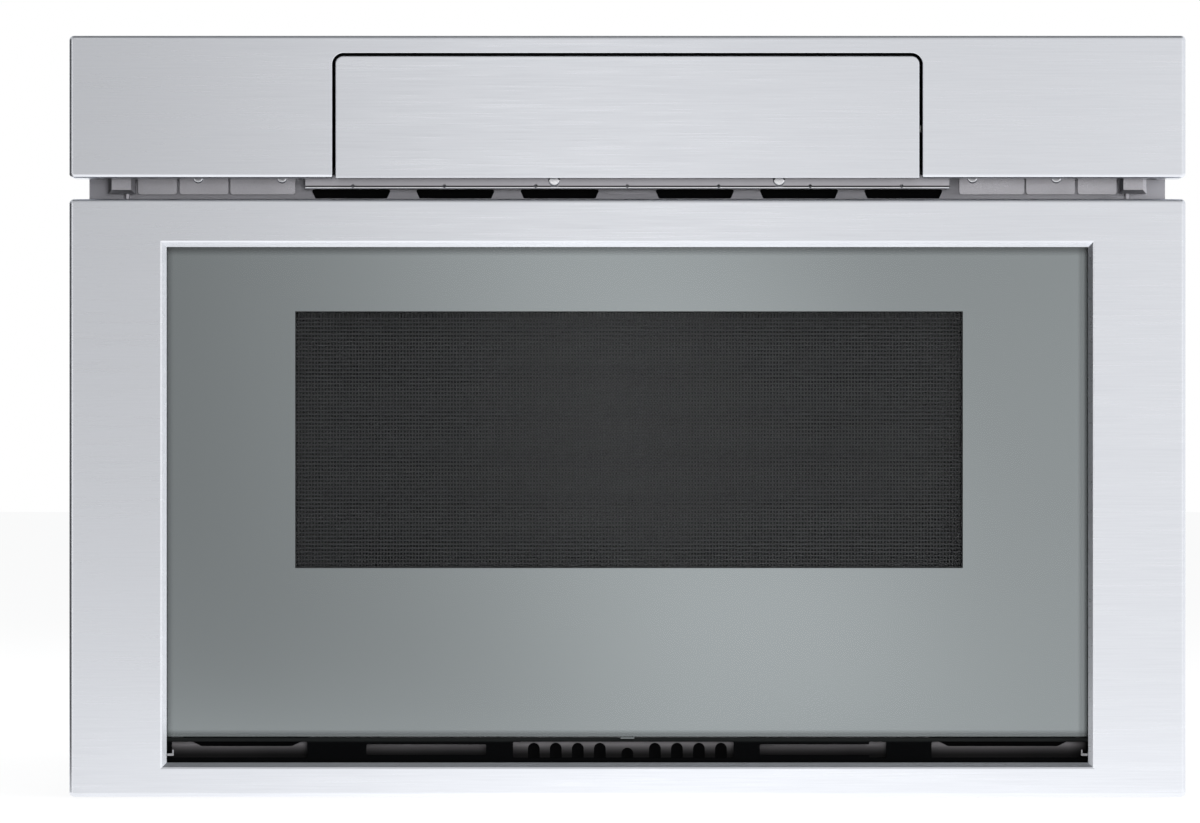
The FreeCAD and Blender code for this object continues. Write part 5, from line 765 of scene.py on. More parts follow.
@dataclass(frozen=True)
class MirrorLayer(Finish):
    """Grey-green semi-mirror layer on the back of the door glass."""

    low: Vector
    high: Vector
    name: str = "mirror_layer"
    colour: Colour = (0.300, 0.324, 0.331)
    lap: float = 0.0022  # hidden behind the frame at the sides and at the top
    # strips of painted shade along the edges: the frame's shadow and its darker reflection on the
    # glass
    foot: Strip = (0.0028, 0.0012, 0.55)
    head: Strip = (0.0030, 0.0018, 0.48)
    left: Strip = (0.0022, 0.0012, 0.72)
    right: Strip = (0.0046, 0.0009, 0.74)
    right_end_shade: Strip = (0.0016, 0.0008, 0.35)
    roughness: float = 0.16
    patches: float = 6.0
    tone: Range = (0.985, 1.015)
    swing: Range = (-0.01, 0.01)
    metallic: ClassVar[float] = 1.0

    def paint(self, surface: SurfaceTree) -> None:
        """Paints shade in a narrow strip along each edge: the frame's shadow and its darker
        reflection.

        Args:
            surface: The plain material.
        """
        clouds = surface.noise(surface.coords, self.patches)
        layer = surface.tinted(clouds, self.colour, self.tone)
        x, z = surface.along(Axis.X), surface.along(Axis.Z)
        right = self.high.x - self.lap
        # painted shade along each edge
        for value, edge, inward, (width, fade, share) in (
                (z, self.low.z, 1, self.foot), (z, self.high.z - self.lap, -1, self.head),
                (x, self.low.x + self.lap, 1, self.left), (x, right, -1, self.right),
                (x, right, -1, self.right_end_shade)):
            start = edge + inward * (width - fade)
            end = edge + inward * (width + fade)
            layer = surface.scaled(layer, surface.span(value, (share, 1.0), (start, end)))
        surface.put("Base Color", layer)
        surface.roughen(clouds, self.roughness, self.swing)


@dataclass(frozen=True)
class GlossBlack(Finish):
    """Black printed glass of the touch panel."""

    name: str = "touch_glass"
    colour: Colour = (0.012, 0.012, 0.014)
    roughness: float = 0.05
    coat: float = 0.6
    coat_roughness: float = 0.02
    patches: float = 45.0
    swing: Range = (-0.02, 0.05)

    def paint(self, surface: SurfaceTree) -> None:
        """Adds a faint film and a clear coat.

        Args:
            surface: The plain material.
        """
        film = surface.noise(surface.coords, self.patches, 3.0)
        surface.roughen(film, self.roughness, self.swing)
        surface.put("Coat Weight", self.coat)
        surface.put("Coat Roughness", self.coat_roughness)


@dataclass(frozen=True)
class MicaSheet(Finish):
    """Layered mica with silvery flakes."""

    name: str = "mica"
    colour: Colour = (0.62, 0.55, 0.42)
    roughness: float = 0.4
    flakes: float = 110.0
    tone: Range = (0.75, 1.25)
    tone_ends: Range = (0.1, 0.9)
    swing: Range = (-0.15, 0.15)
    bump: Range = (0.3, 0.0001)

    def paint(self, surface: SurfaceTree) -> None:
        """Adds the flakes.

        Args:
            surface: The plain material.
        """
        flakes = surface.cells(surface.coords, self.flakes)
        surface.put("Base Color", surface.tinted(flakes, self.colour, self.tone, self.tone_ends))
        surface.roughen(flakes, self.roughness, self.swing)
        surface.relief(flakes, *self.bump)


@dataclass(frozen=True)
class CircuitBoard(Finish):
    """Green board with tracks; what stands on it is black, blue or tin."""

    name: str
    flat: Axis
    low: float
    high: float
    colour: Colour = (0.035, 0.17, 0.075)
    roughness: float = 0.35
    track: float = 0.0035
    track_level: float = 1.15
    track_gain: float = 1.9  # the lighter green over the tracks
    track_lift: float = 0.02
    parts: Sequence[tuple[float, Colour]] = ((0.0, (0.02, 0.02, 0.022)), (0.45, (0.03, 0.05, 0.12)),
                                             (0.75, (0.6, 0.6, 0.58)))
    part_cells: float = 45.0
    grit: float = 300.0
    swing: Range = (-0.07, 0.07)
    bump: Range = (0.2, 0.00005)

    def paint(self, surface: SurfaceTree) -> None:
        """Adds the tracks, and the colours of what stands on the board.

        Args:
            surface: The plain material.
        """
        blocks = surface.cells(surface.coords, 1 / self.track, "Distance")
        both = surface.maths("ADD", surface.lines(Axis.X, self.track), blocks)
        tracks = surface.maths("GREATER_THAN", both, self.track_level)
        lighter = tuple(min(c * self.track_gain + self.track_lift, 1.0) for c in self.colour)
        board = surface.mix(tracks, self.colour, lighter)
        parts = surface.ramp(surface.cells(surface.coords, self.part_cells), self.parts,
                             constant=True)
        on_board = surface.between(self.flat, self.low, self.high)
        surface.put("Base Color", surface.mix(on_board, parts, board))
        surface.roughen(surface.noise(surface.coords, self.grit), self.roughness, self.swing)
        surface.relief(tracks, *self.bump)


@dataclass(frozen=True)
class TransformerFinish(Finish):
    """Varnished laminations with a copper winding between them."""

    name: str
    core_low: float
    core_high: float
    colour: Colour = (0.16, 0.14, 0.13)
    roughness: float = 0.4
    copper: Colour = (0.72, 0.33, 0.14)
    sheet: float = 0.0010
    tone: Range = (1.0, 1.5)
    tone_ends: Range = (0.2, 0.8)
    wire_tone: Range = (0.55, 1.0)
    wire_ends: Range = (0.0, 0.6)
    swing: Range = (-0.08, 0.10)
    bump: Range = (0.25, 0.0001)
    metallic: ClassVar[float] = 0.8

    def paint(self, surface: SurfaceTree) -> None:
        """Adds the sheets of the core and the turns of the winding.

        Args:
            surface: The plain material.
        """
        core = surface.between(Axis.Y, self.core_low, self.core_high)
        sheets = surface.lines(Axis.Y, self.sheet)
        turns = surface.lines(Axis.Z, self.sheet)
        steel = surface.tinted(sheets, self.colour, self.tone, self.tone_ends)
        wire = surface.tinted(turns, self.copper, self.wire_tone, self.wire_ends)
        surface.put("Base Color", surface.mix(core, wire, steel))
        surface.roughen(sheets, self.roughness, self.swing)
        surface.relief(surface.maths("ADD", sheets, turns), *self.bump)


@dataclass(frozen=True)
class LampFinish(Finish):
    """Zinc-plated lamp box with a frosted bulb inside."""

    name: str
    bulb: Point
    radius: float
    colour: Colour = (0.60, 0.61, 0.62)
    roughness: float = 0.35
    glass: Colour = (0.86, 0.83, 0.74)
    patches: float = 80.0
    grit: float = 300.0
    tone: Range = (0.88, 1.0)
    swing: Range = (-0.07, 0.07)

    def paint(self, surface: SurfaceTree) -> None:
        """Adds the bulb as a ball about its middle.

        Args:
            surface: The plain material.
        """
        off = surface.add("ShaderNodeVectorMath", {0: surface.coords, 1: self.bulb},
                          operation="DISTANCE").outputs["Value"]
        outside = surface.maths("GREATER_THAN", off, self.radius)
        clouds = surface.noise(surface.coords, self.patches, 3.0)
        steel = surface.tinted(clouds, self.colour, self.tone)
        surface.put("Base Color", surface.mix(outside, self.glass, steel))
        surface.put("Metallic", outside)
        surface.roughen(surface.noise(surface.coords, self.grit), self.roughness, self.swing)


# ---------------------------------------------------------------- modelling by hand


class Bench:
    """Mesh work with the operators, one object at a time."""

    @staticmethod
    def clear() -> None:
        """Leaves edit mode and selects nothing."""
        if bpy.context.object and bpy.context.object.mode != "OBJECT":
            bpy.ops.object.mode_set(mode="OBJECT")
        bpy.ops.object.select_all(action="DESELECT")

    @staticmethod
    def slab(name: str, low: Point, high: Point) -> bpy.types.Object:
        """Adds a rectangular blank between two corners.

        Args:
            name: Name of the piece.
            low: Lowest corner.
            high: Highest corner.

        Returns:
            The new object, at the origin, with its place in its mesh.
        """
        Bench.clear()
        middle = [(a + b) / 2 for a, b in zip(low, high)]
        size = [b - a for a, b in zip(low, high)]
        bpy.ops.mesh.primitive_cube_add(size=1.0, location=middle, scale=size)
        return Bench.settle(name)

    @staticmethod
    def settle(name: str) -> bpy.types.Object:
        """Names the active object and puts its place into its mesh.

        Args:
            name: Name of the piece.

        Returns:
            The object.
        """
        piece = bpy.context.object
        piece.name = name
        piece.data.name = name
        bpy.ops.object.transform_apply(location=True, rotation=True, scale=True)
        return piece

    @staticmethod
    def cut(planes: Iterable[tuple[Point, Point]]) -> None:
        """Cuts all faces of the active object along planes.

        Args:
            planes: A point and the normal of each plane.
        """
        bpy.ops.object.mode_set(mode="EDIT")
        for place, normal in planes:
            bpy.ops.mesh.select_all(action="SELECT")
            bpy.ops.mesh.bisect(plane_co=place, plane_no=normal)
        Bench.finish_edit()

    @staticmethod
    def faces(piece: bpy.types.Object, wanted: Callable[[bmesh.types.BMFace], bool]) -> None:
        """Selects, in edit mode, the faces that a test wants.

        Args:
            piece: The object.
            wanted: Test of one face.
        """
        bpy.context.view_layer.objects.active = piece
        bpy.ops.object.mode_set(mode="EDIT")
        bpy.ops.mesh.select_mode(type="FACE")
        bpy.ops.mesh.select_all(action="DESELECT")
        mesh = bmesh.from_edit_mesh(piece.data)
        for face in mesh.faces:
            if wanted(face):
                face.select_set(True)
        bmesh.update_edit_mesh(piece.data)

    @staticmethod
    def finish_edit() -> None:
        """Goes back to object mode."""
        bpy.ops.object.mode_set(mode="OBJECT")

    @staticmethod
    def modify(piece: bpy.types.Object, kind: str, **settings: object) -> None:
        """Gives a piece a modifier and applies it.

        Args:
            piece: The object.
            kind: Type of the modifier.
            **settings: Its properties.
        """
        bpy.context.view_layer.objects.active = piece
        piece.select_set(True)
        modifier = piece.modifiers.new(kind.lower(), kind)
        for key, value in settings.items():
            setattr(modifier, key, value)
        bpy.ops.object.modifier_apply(modifier=modifier.name)

    @staticmethod
    def bevel(piece: bpy.types.Object, width: float, segments: int = 2) -> None:
        """Rounds all sharp edges of a piece."""
        Bench.modify(piece, "BEVEL", width=width, segments=segments, limit_method="ANGLE",
                     angle_limit=SHARP_EDGE)

    @staticmethod
    def repeat(piece: bpy.types.Object, count: int, step: Point) -> None:
        """Repeats a piece's mesh in a row."""
        Bench.modify(piece, "ARRAY", count=count, use_relative_offset=False,
                     use_constant_offset=True, constant_offset_displace=step)

    @staticmethod
    def lean(piece: bpy.types.Object, axis: Axis, still: float, slope: float) -> None:
        """Moves each point of a piece back along Y, in step with its distance from a still line."""
        for vertex in piece.data.vertices:
            vertex.co.y += (vertex.co[axis.value] - still) * slope

    @staticmethod
    def join(name: str, pieces: Sequence[bpy.types.Object]) -> bpy.types.Object:
        """Joins pieces into the first one.

        Args:
            name: Name of the joined piece.
            pieces: The objects.

        Returns:
            The joined piece.
        """
        Bench.clear()
        for piece in pieces:
            piece.select_set(True)
        bpy.context.view_layer.objects.active = pieces[0]
        bpy.ops.object.join()
        pieces[0].name = name
        pieces[0].data.name = name
        return pieces[0]

    @staticmethod
    def dress(piece: bpy.types.Object, material: bpy.types.Material) -> None:
        """Gives every face of a piece one material.

        Args:
            piece: The object.
            material: The material.
        """
        piece.data.materials.clear()
        piece.data.materials.append(material)
        piece.data.polygons.foreach_set("material_index", [0] * len(piece.data.polygons))


# ---------------------------------------------------------------- sub-assemblies


@dataclass
class Place:
    """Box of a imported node."""

    low: Vector
    high: Vector

    @classmethod
    def of(cls, node: str) -> "Place":
        """Reads the box of one node at rest."""
        low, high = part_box(node)
        return cls(Vector(low), Vector(high))

    @property
    def middle(self) -> Vector:
        """Middle of the box."""
        return (self.low + self.high) / 2


@dataclass
class DoorWindow:
    """Window of the drawer front: mirror layer with its clear field, and the punched screen."""

    field_side: float = 0.0710  # clear field from the glass's ends
    field_below: float = 0.0918
    field_above: float = 0.0371
    field_shift: float = 0.0009  # the field stands to the right of the middle by this
    layer_thick: float = 0.00004
    layer_inside: float = 0.00002  # the layer lies in the glass by this
    layer_edge: float = 0.0002  # glass left free round the layer
    pitch_x: float = 0.00172
    pitch_z: float = 0.00208
    bar_x: float = 0.00066
    bar_z: float = 0.00086
    sheet_thick: float = 0.0006
    stagger: float = 0.00005  # upright bars behind the bars across
    bars_past: float = 0.002  # bars past the clear field
    rim_lap: float = 0.001  # rim over the ends of the bars
    top_edge: float = 0.0008  # open line along the top of the clear field
    top_lap: float = 0.0001
    pieces: list[bpy.types.Object] = field(default_factory=list)

    def build(self, finishes: "Finishes") -> list[bpy.types.Object]:
        """Builds the pieces of the window.

        Args:
            finishes: The shared finishes.

        Returns:
            The new pieces.
        """
        glass = Place.of("door_glass")
        self.mirror(glass, finishes)
        self.screen(glass, finishes)
        return self.pieces

    def clear_field(self, glass: Place) -> tuple[float, float, float, float]:
        """Finds the clear field.

        Args:
            glass: Box of the door glass.

        Returns:
            Its left, right, lower and upper edge.
        """
        return (glass.low.x + self.field_side + self.field_shift,
                glass.high.x - self.field_side + self.field_shift,
                glass.low.z + self.field_below, glass.high.z - self.field_above)

    def mirror(self, glass: Place, finishes: "Finishes") -> None:
        """Makes the thin layer inside the glass's back face, cut out over the clear field.

        Args:
            glass: Box of the door glass.
            finishes: The shared finishes.
        """
        left, right, low, high = self.clear_field(glass)
        back = glass.high.y - self.layer_inside
        edge = self.layer_edge
        layer = Bench.slab("mirror_layer",
                           (glass.low.x + edge, back - self.layer_thick, glass.low.z + edge),
                           (glass.high.x - edge, back, glass.high.z - edge))
        Bench.cut([((left, 0, 0), (1, 0, 0)), ((right, 0, 0), (1, 0, 0)),
                   ((0, 0, low), (0, 0, 1)), ((0, 0, high), (0, 0, 1))])

        def inside(face: bmesh.types.BMFace) -> bool:
            """True for a face within the clear field."""
            at = face.calc_center_median()
            return left < at.x < right and low < at.z < high

        Bench.faces(layer, inside)
        bpy.ops.mesh.bridge_edge_loops()
        Bench.finish_edit()
        Bench.dress(layer, finishes.mirror)
        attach(layer, "drawer")
        self.pieces.append(layer)

    def screen(self, glass: Place, finishes: "Finishes") -> None:
        """Makes the punched screen: crossing bars in a plain rim.

        Args:
            glass: Box of the door glass.
            finishes: The shared finishes.
        """
        box = Place.of("window_screen")
        left, right, low, high = self.clear_field(glass)
        y = (box.low.y, box.low.y + self.sheet_thick)
        field_x = (left - self.bars_past, right + self.bars_past)
        field_z = (low - self.bars_past, high - self.top_edge)
        across = Bench.slab("bars_across", (field_x[0], y[0], field_z[0]),
                            (field_x[1], y[1], field_z[0] + self.bar_z))
        Bench.repeat(across, int((field_z[1] - field_z[0]) / self.pitch_z), (0, 0, self.pitch_z))
        upright = Bench.slab("bars_upright", (field_x[0], y[0] + self.stagger, field_z[0]),
                             (field_x[0] + self.bar_x, y[1] + self.stagger, high + self.rim_lap))
        Bench.repeat(upright, int((field_x[1] - field_x[0]) / self.pitch_x), (self.pitch_x, 0, 0))
        bars = [across, upright]
        sides = (box.low.z, box.high.z)
        for name, x, z in (("rim_left", (box.low.x, field_x[0] + self.rim_lap), sides),
                           ("rim_right", (field_x[1] - self.rim_lap, box.high.x), sides),
                           ("rim_low", field_x, (box.low.z, field_z[0] + self.rim_lap)),
                           ("rim_top", field_x, (high - self.top_lap, box.high.z))):
            bars.append(Bench.slab(name, (x[0], box.low.y, z[0]), (x[1], box.high.y, z[1])))
        screen = Bench.join("punched_screen", bars)
        Bench.dress(screen, finishes.screen)
        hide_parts("window_screen")
        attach(screen, "drawer")
        self.pieces.append(screen)


@dataclass
class AirStrip:
    """Trim of the air strip under the glass, and near-black painted shade behind its baffle and
    behind the flange's slots.
    """

    clip_width: float = 0.0036
    clip_rise: float = 0.0015
    clip_lean: float = 0.0024  # how far its outer end stands ahead of its inner end
    clip_place: float = 0.2502  # outer end from the middle
    clip_low: float = 0.0229
    clip_depth: Range = (0.0003, 0.0001)  # ahead of the grille's front, and into it
    clip_bevel: float = 0.00012
    leg_width: float = 0.0009
    leg_height: float = 0.0020
    leg_root: float = 0.9  # height in the foot at which the leg starts
    tab_half: float = 0.0038
    tab_drop: float = 0.0009
    tab_lap: float = 0.00002
    tab_inset: float = 0.0001
    tab_gap: float = 0.00005
    tab_bevel: float = 0.0002
    # the liner is a near-black tray, painted shade behind the baffle
    liner_gap: float = 0.0003
    liner_lip: float = 0.0012
    liner_thick: float = 0.0006
    liner_dish: float = 0.0003
    liner_side: float = 0.0008
    liner_foot: float = 0.0004
    liner_head: float = 0.0006
    # near-black strip behind the flange's slots: painted shade inside them
    filter_size: Range = (0.190, 0.0130)  # half length and height
    filter_gap: float = 0.0001
    filter_thick: float = 0.0012
    filter_lap: float = 0.003  # behind the ledge bar
    rib_pitch: float = 0.0100
    rib_depth: float = 0.0004
    front_normal: float = -0.9  # a face whose normal's Y is below this faces the front
    pieces: list[bpy.types.Object] = field(default_factory=list)

    def build(self, finishes: "Finishes") -> list[bpy.types.Object]:
        """Builds the trim.

        Args:
            finishes: The shared finishes.

        Returns:
            The new pieces.
        """
        self.clips(finishes)
        self.tab(finishes)
        self.liner(finishes)
        self.filter(finishes)
        return self.pieces

    def keep(self, piece: bpy.types.Object, material: bpy.types.Material,
             body: str) -> None:
        """Dresses a finished piece and lets it ride on its body.

        Args:
            piece: The piece.
            material: Its material.
            body: The body that carries it.
        """
        Bench.dress(piece, material)
        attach(piece, body)
        self.pieces.append(piece)

    def clips(self, finishes: "Finishes") -> None:
        """Makes the folded clips at the strip's ends, leaning inwards, each with a short leg.

        Args:
            finishes: The shared finishes.
        """
        front = Place.of("lower_grille").low.y
        y = (front - self.clip_depth[0], front + self.clip_depth[1])
        foot_z = (self.clip_low, self.clip_low + self.clip_rise)
        leg_z = (self.clip_low + self.clip_rise * self.leg_root, foot_z[1] + self.leg_height)
        parts = []
        for side in (-1, 1):
            outer = side * self.clip_place
            inner = side * (self.clip_place - self.clip_width)
            for name, far, z in (("clip_foot", outer, foot_z),
                                 ("clip_leg", inner + side * self.leg_width, leg_z)):
                part = Bench.slab(name, (min(inner, far), y[0], z[0]),
                                  (max(inner, far), y[1], z[1]))
                Bench.lean(part, Axis.X, inner, -self.clip_lean / self.clip_width * side)
                Bench.bevel(part, self.clip_bevel, 1)
                parts.append(part)
        self.keep(Bench.join("strip_clips", parts), finishes.clip, "drawer")

    def tab(self, finishes: "Finishes") -> None:
        """Makes the small tab at the middle of the glass's lower edge.

        Args:
            finishes: The shared finishes.
        """
        glass = Place.of("door_glass")
        back = Place.of("lower_grille").low.y - self.tab_gap
        low = (-self.tab_half, glass.low.y + self.tab_inset, glass.low.z - self.tab_drop)
        tab = Bench.slab("glass_tab", low, (self.tab_half, back, glass.low.z + self.tab_lap))
        Bench.bevel(tab, self.tab_bevel)
        self.keep(tab, finishes.mirror, "drawer")

    def liner(self, finishes: "Finishes") -> None:
        """Makes the shallow near-black tray behind the baffle: painted shade that shuts off the
        view past it.

        Args:
            finishes: The shared finishes.
        """
        baffle = Place.of("vent_baffle")
        front = baffle.high.y + self.liner_gap
        low = (baffle.low.x + self.liner_side, front, baffle.low.z + self.liner_foot)
        high = (baffle.high.x - self.liner_side, front + self.liner_thick,
                baffle.high.z - self.liner_head)
        tray = Bench.slab("strip_liner", low, high)
        Bench.faces(tray, lambda face: face.normal.y < self.front_normal)
        bpy.ops.mesh.inset(thickness=self.liner_lip, depth=-self.liner_dish)
        Bench.finish_edit()
        self.keep(tray, finishes.shade_black, "drawer")

    def filter(self, finishes: "Finishes") -> None:
        """Makes the ribbed near-black strip behind the slots of the flange: painted shade inside
        them.

        Args:
            finishes: The shared finishes.
        """
        half, height = self.filter_size
        top = Place.of("ledge_bar").low.z + self.filter_lap
        front = Place.of("front_flange").high.y + self.filter_gap
        strip = Bench.slab("slot_filter", (-half, front, top - height),
                           (half, front + self.filter_thick, top))
        ribs = int(2 * half / self.rib_pitch)
        rib = 2 * half / ribs
        Bench.cut([((-half + index * rib, 0, 0), (1, 0, 0)) for index in range(1, ribs)])
        Bench.faces(strip, lambda face: face.normal.y < self.front_normal
                    and int((face.calc_center_median().x + half) / rib) % 2 == 0)
        bpy.ops.transform.translate(value=(0, self.rib_depth, 0))
        Bench.finish_edit()
        self.keep(strip, finishes.shade_black, "chassis")


@dataclass
class TouchLegend:
    """Digits printed on the touch glass, seen with the flap open."""

    digit: float = 0.007
    columns: int = 10
    pitch: float = 0.0165
    depth: float = 0.00008
    curve_steps: int = 3

    def build(self, finishes: "Finishes") -> list[bpy.types.Object]:
        """Prints the digits in a row.

        Args:
            finishes: The shared finishes.

        Returns:
            The new pieces.
        """
        box = Place.of("touch_glass")
        first = box.middle.x - (self.columns - 1) * self.pitch / 2
        pieces = []
        for index in range(self.columns):
            Bench.clear()
            bpy.ops.object.text_add(location=(0, 0, 0))
            text = bpy.context.object.data
            text.body = str((index + 1) % 10)
            text.size = self.digit
            text.align_x = "CENTER"
            text.align_y = "CENTER"
            text.extrude = self.depth / 2
            text.resolution_u = self.curve_steps
            bpy.ops.object.convert(target="MESH")
            bpy.context.object.location = (first + index * self.pitch, box.middle.y,
                                           box.high.z + self.depth / 2)
            pieces.append(Bench.settle(f"digit_{index}"))
        legend = Bench.join("touch_legend", pieces)
        Bench.dress(legend, finishes.legend)
        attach(legend, "flap")
        return [legend]


# ---------------------------------------------------------------- dressing


class Finishes:
    """All materials, built once."""

    GRILLE_BAR: ClassVar[float] = 0.0026  # lower edge of the grille's upper bar, below the glass
    LEDGE_LIP: ClassVar[float] = 0.0015
    BOARD: ClassVar[Range] = (0.0098, 0.0117)  # faces of the green board above its node's foot
    COIL: ClassVar[float] = 0.014  # winding past the core at either side
    BULB: ClassVar[float] = 0.0100

    def __init__(self) -> None:
        """Builds every finish."""
        glass = Place.of("door_glass")
        self.mirror = MirrorLayer(glass.low, glass.high).build()
        self.screen = CoatedSteel("black_screen", (0.020, 0.020, 0.021), 0.5, shine=0.06).build()
        self.clip = BareMetal("clip_steel", (0.28, 0.28, 0.29), 0.20).build()
        # near-black for the liner and for the strip behind the slots: painted shade
        self.shade_black = Moulding("painted_shade_black", (0.0035, 0.0035, 0.0038), 0.9, 0.0011,
                             shine=0.02).build()
        self.legend = Moulding("legend_white", (0.78, 0.79, 0.80), 0.5).build()
        by_slot = {
            "brushed_stainless": BrushedStainless(),
            "galvanised_sheet": SpangledZinc(),
            "grey_flange": CoatedSteel("grey_flange", (0.305, 0.30, 0.325), 0.40),
            "door_glass": ClearGlass("door_glass_clear", (0.985, 0.99, 0.99)),
            "black_plastic": Moulding("black_plastic", (0.012, 0.012, 0.013), 0.5, shine=0.25),
            "grey_baffle": PaintedShadeBaffle("grey_baffle"),
            "clear_pane": ClearGlass("inner_pane_tinted", (0.55, 0.56, 0.56), 0.02),
            "drawer_enamel": Enamel("drawer_enamel", (0.58, 0.58, 0.565)),
            "cavity_enamel": Enamel("cavity_enamel", (0.55, 0.55, 0.54)),
            "ceramic_plate": Enamel("ceramic_plate", (0.78, 0.775, 0.745), 0.12, 0.006),
            "zinc_rail": BareMetal("zinc_rail", (0.66, 0.675, 0.70), 0.28),
            "rack_steel": BareMetal("rack_steel", (0.48, 0.48, 0.50), 0.34, Axis.X, 0.006),
            "white_nylon": Moulding("white_nylon", (0.78, 0.775, 0.75), 0.42),
            "motor_black": CoatedSteel("motor_black", (0.045, 0.045, 0.05), 0.38),
            "bright_steel": BareMetal("bright_steel", (0.72, 0.73, 0.75), 0.20, Axis.X, 0.004,
                                      0.0003),
            "aluminium": BareMetal("aluminium", (0.76, 0.77, 0.79), 0.30, Axis.X),
            "mica": MicaSheet(),
            "board_green": self.board(),
            "transformer_steel": self.transformer(),
            "touch_glass": GlossBlack(),
            "lamp": LampFinish("lamp", tuple(Place.of("oven_lamp").middle), self.BULB),
        }
        self.by_slot = {slot: finish.build() for slot, finish in by_slot.items()}
        self.by_slot["black_screen"] = self.screen
        lip_top = Place.of("ledge_bar").low.z + self.LEDGE_LIP
        satin = BareMetal("satin_plate", (0.50, 0.49, 0.52), 0.30).build()
        self.by_node = {
            "lower_grille": GrillePlastic("grille_black", glass.low.z - self.GRILLE_BAR).build(),
            "reveal_plates": satin,
            "bumper_blocks": satin,
            "reveal_screws": BareMetal("screw_bright", (0.78, 0.78, 0.80), 0.16).build(),
            "ledge_bar": LippedBar("ledge_satin", lip_top).build(),
        }

    def board(self) -> CircuitBoard:
        """Finish of the boards, which lie flat on their pillars."""
        foot = Place.of("circuit_boards").low.z
        return CircuitBoard("circuit_board", Axis.Z, foot + self.BOARD[0], foot + self.BOARD[1])

    def transformer(self) -> TransformerFinish:
        """Finish of the transformer, whose winding shows at both ends of its core."""
        box = Place.of("hv_transformer")
        return TransformerFinish("transformer", box.low.y + self.COIL, box.high.y - self.COIL)

    def dress_nodes(self, frame: dict) -> None:
        """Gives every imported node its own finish, or that of its slot.

        Args:
            frame: The loaded frame.
        """
        slots = {part["node"]: part["material_slot"] for part in frame["record"]["subparts"]}
        for name, node in frame["nodes"].items():
            Bench.dress(node, self.by_node.get(name, self.by_slot[slots[name]]))


# ---------------------------------------------------------------- studio


@dataclass
class Surround:
    """World: white for the camera, softer for the light, and graded for what mirrors it."""

    soft: Colour = (0.96, 0.98, 1.0)
    soft_strength: float = 0.55
    tint: Colour = (0.97, 0.985, 1.0)
    side: Sequence[Stop] = ((0.0, 0.05), (0.05, 0.05), (0.12, 0.72), (0.5, 0.85), (0.9, 0.95))
    above_share: Range = (1.0, 0.17)
    above: Range = (0.72, 0.92)  # rise of a ray at which these shares hold

    def build(self) -> None:
        """Makes the world."""
        world = bpy.data.worlds.new("surround")
        bpy.context.scene.world = world
        world.use_nodes = True
        tree = Wiring(world.node_tree, "ShaderNodeOutputWorld", "Generated")
        ray = tree.add("ShaderNodeLightPath", {}).outputs
        across = tree.span(tree.along(Axis.X), WHOLE, (-1.0, 1.0))
        above = tree.span(tree.along(Axis.Z), self.above_share, self.above)
        strength = tree.maths("MULTIPLY", tree.grey(across, self.side), above)
        white = tree.light("ShaderNodeBackground", WHITE, 1.0)
        soft = tree.light("ShaderNodeBackground", self.soft, self.soft_strength)
        mirrored = tree.light("ShaderNodeBackground", self.tint, strength)
        unseen = tree.either(ray["Is Glossy Ray"], soft, mirrored)
        seen = tree.maths("MAXIMUM", ray["Is Camera Ray"], ray["Is Transmission Ray"])
        tree.show(tree.either(seen, unseen, white))


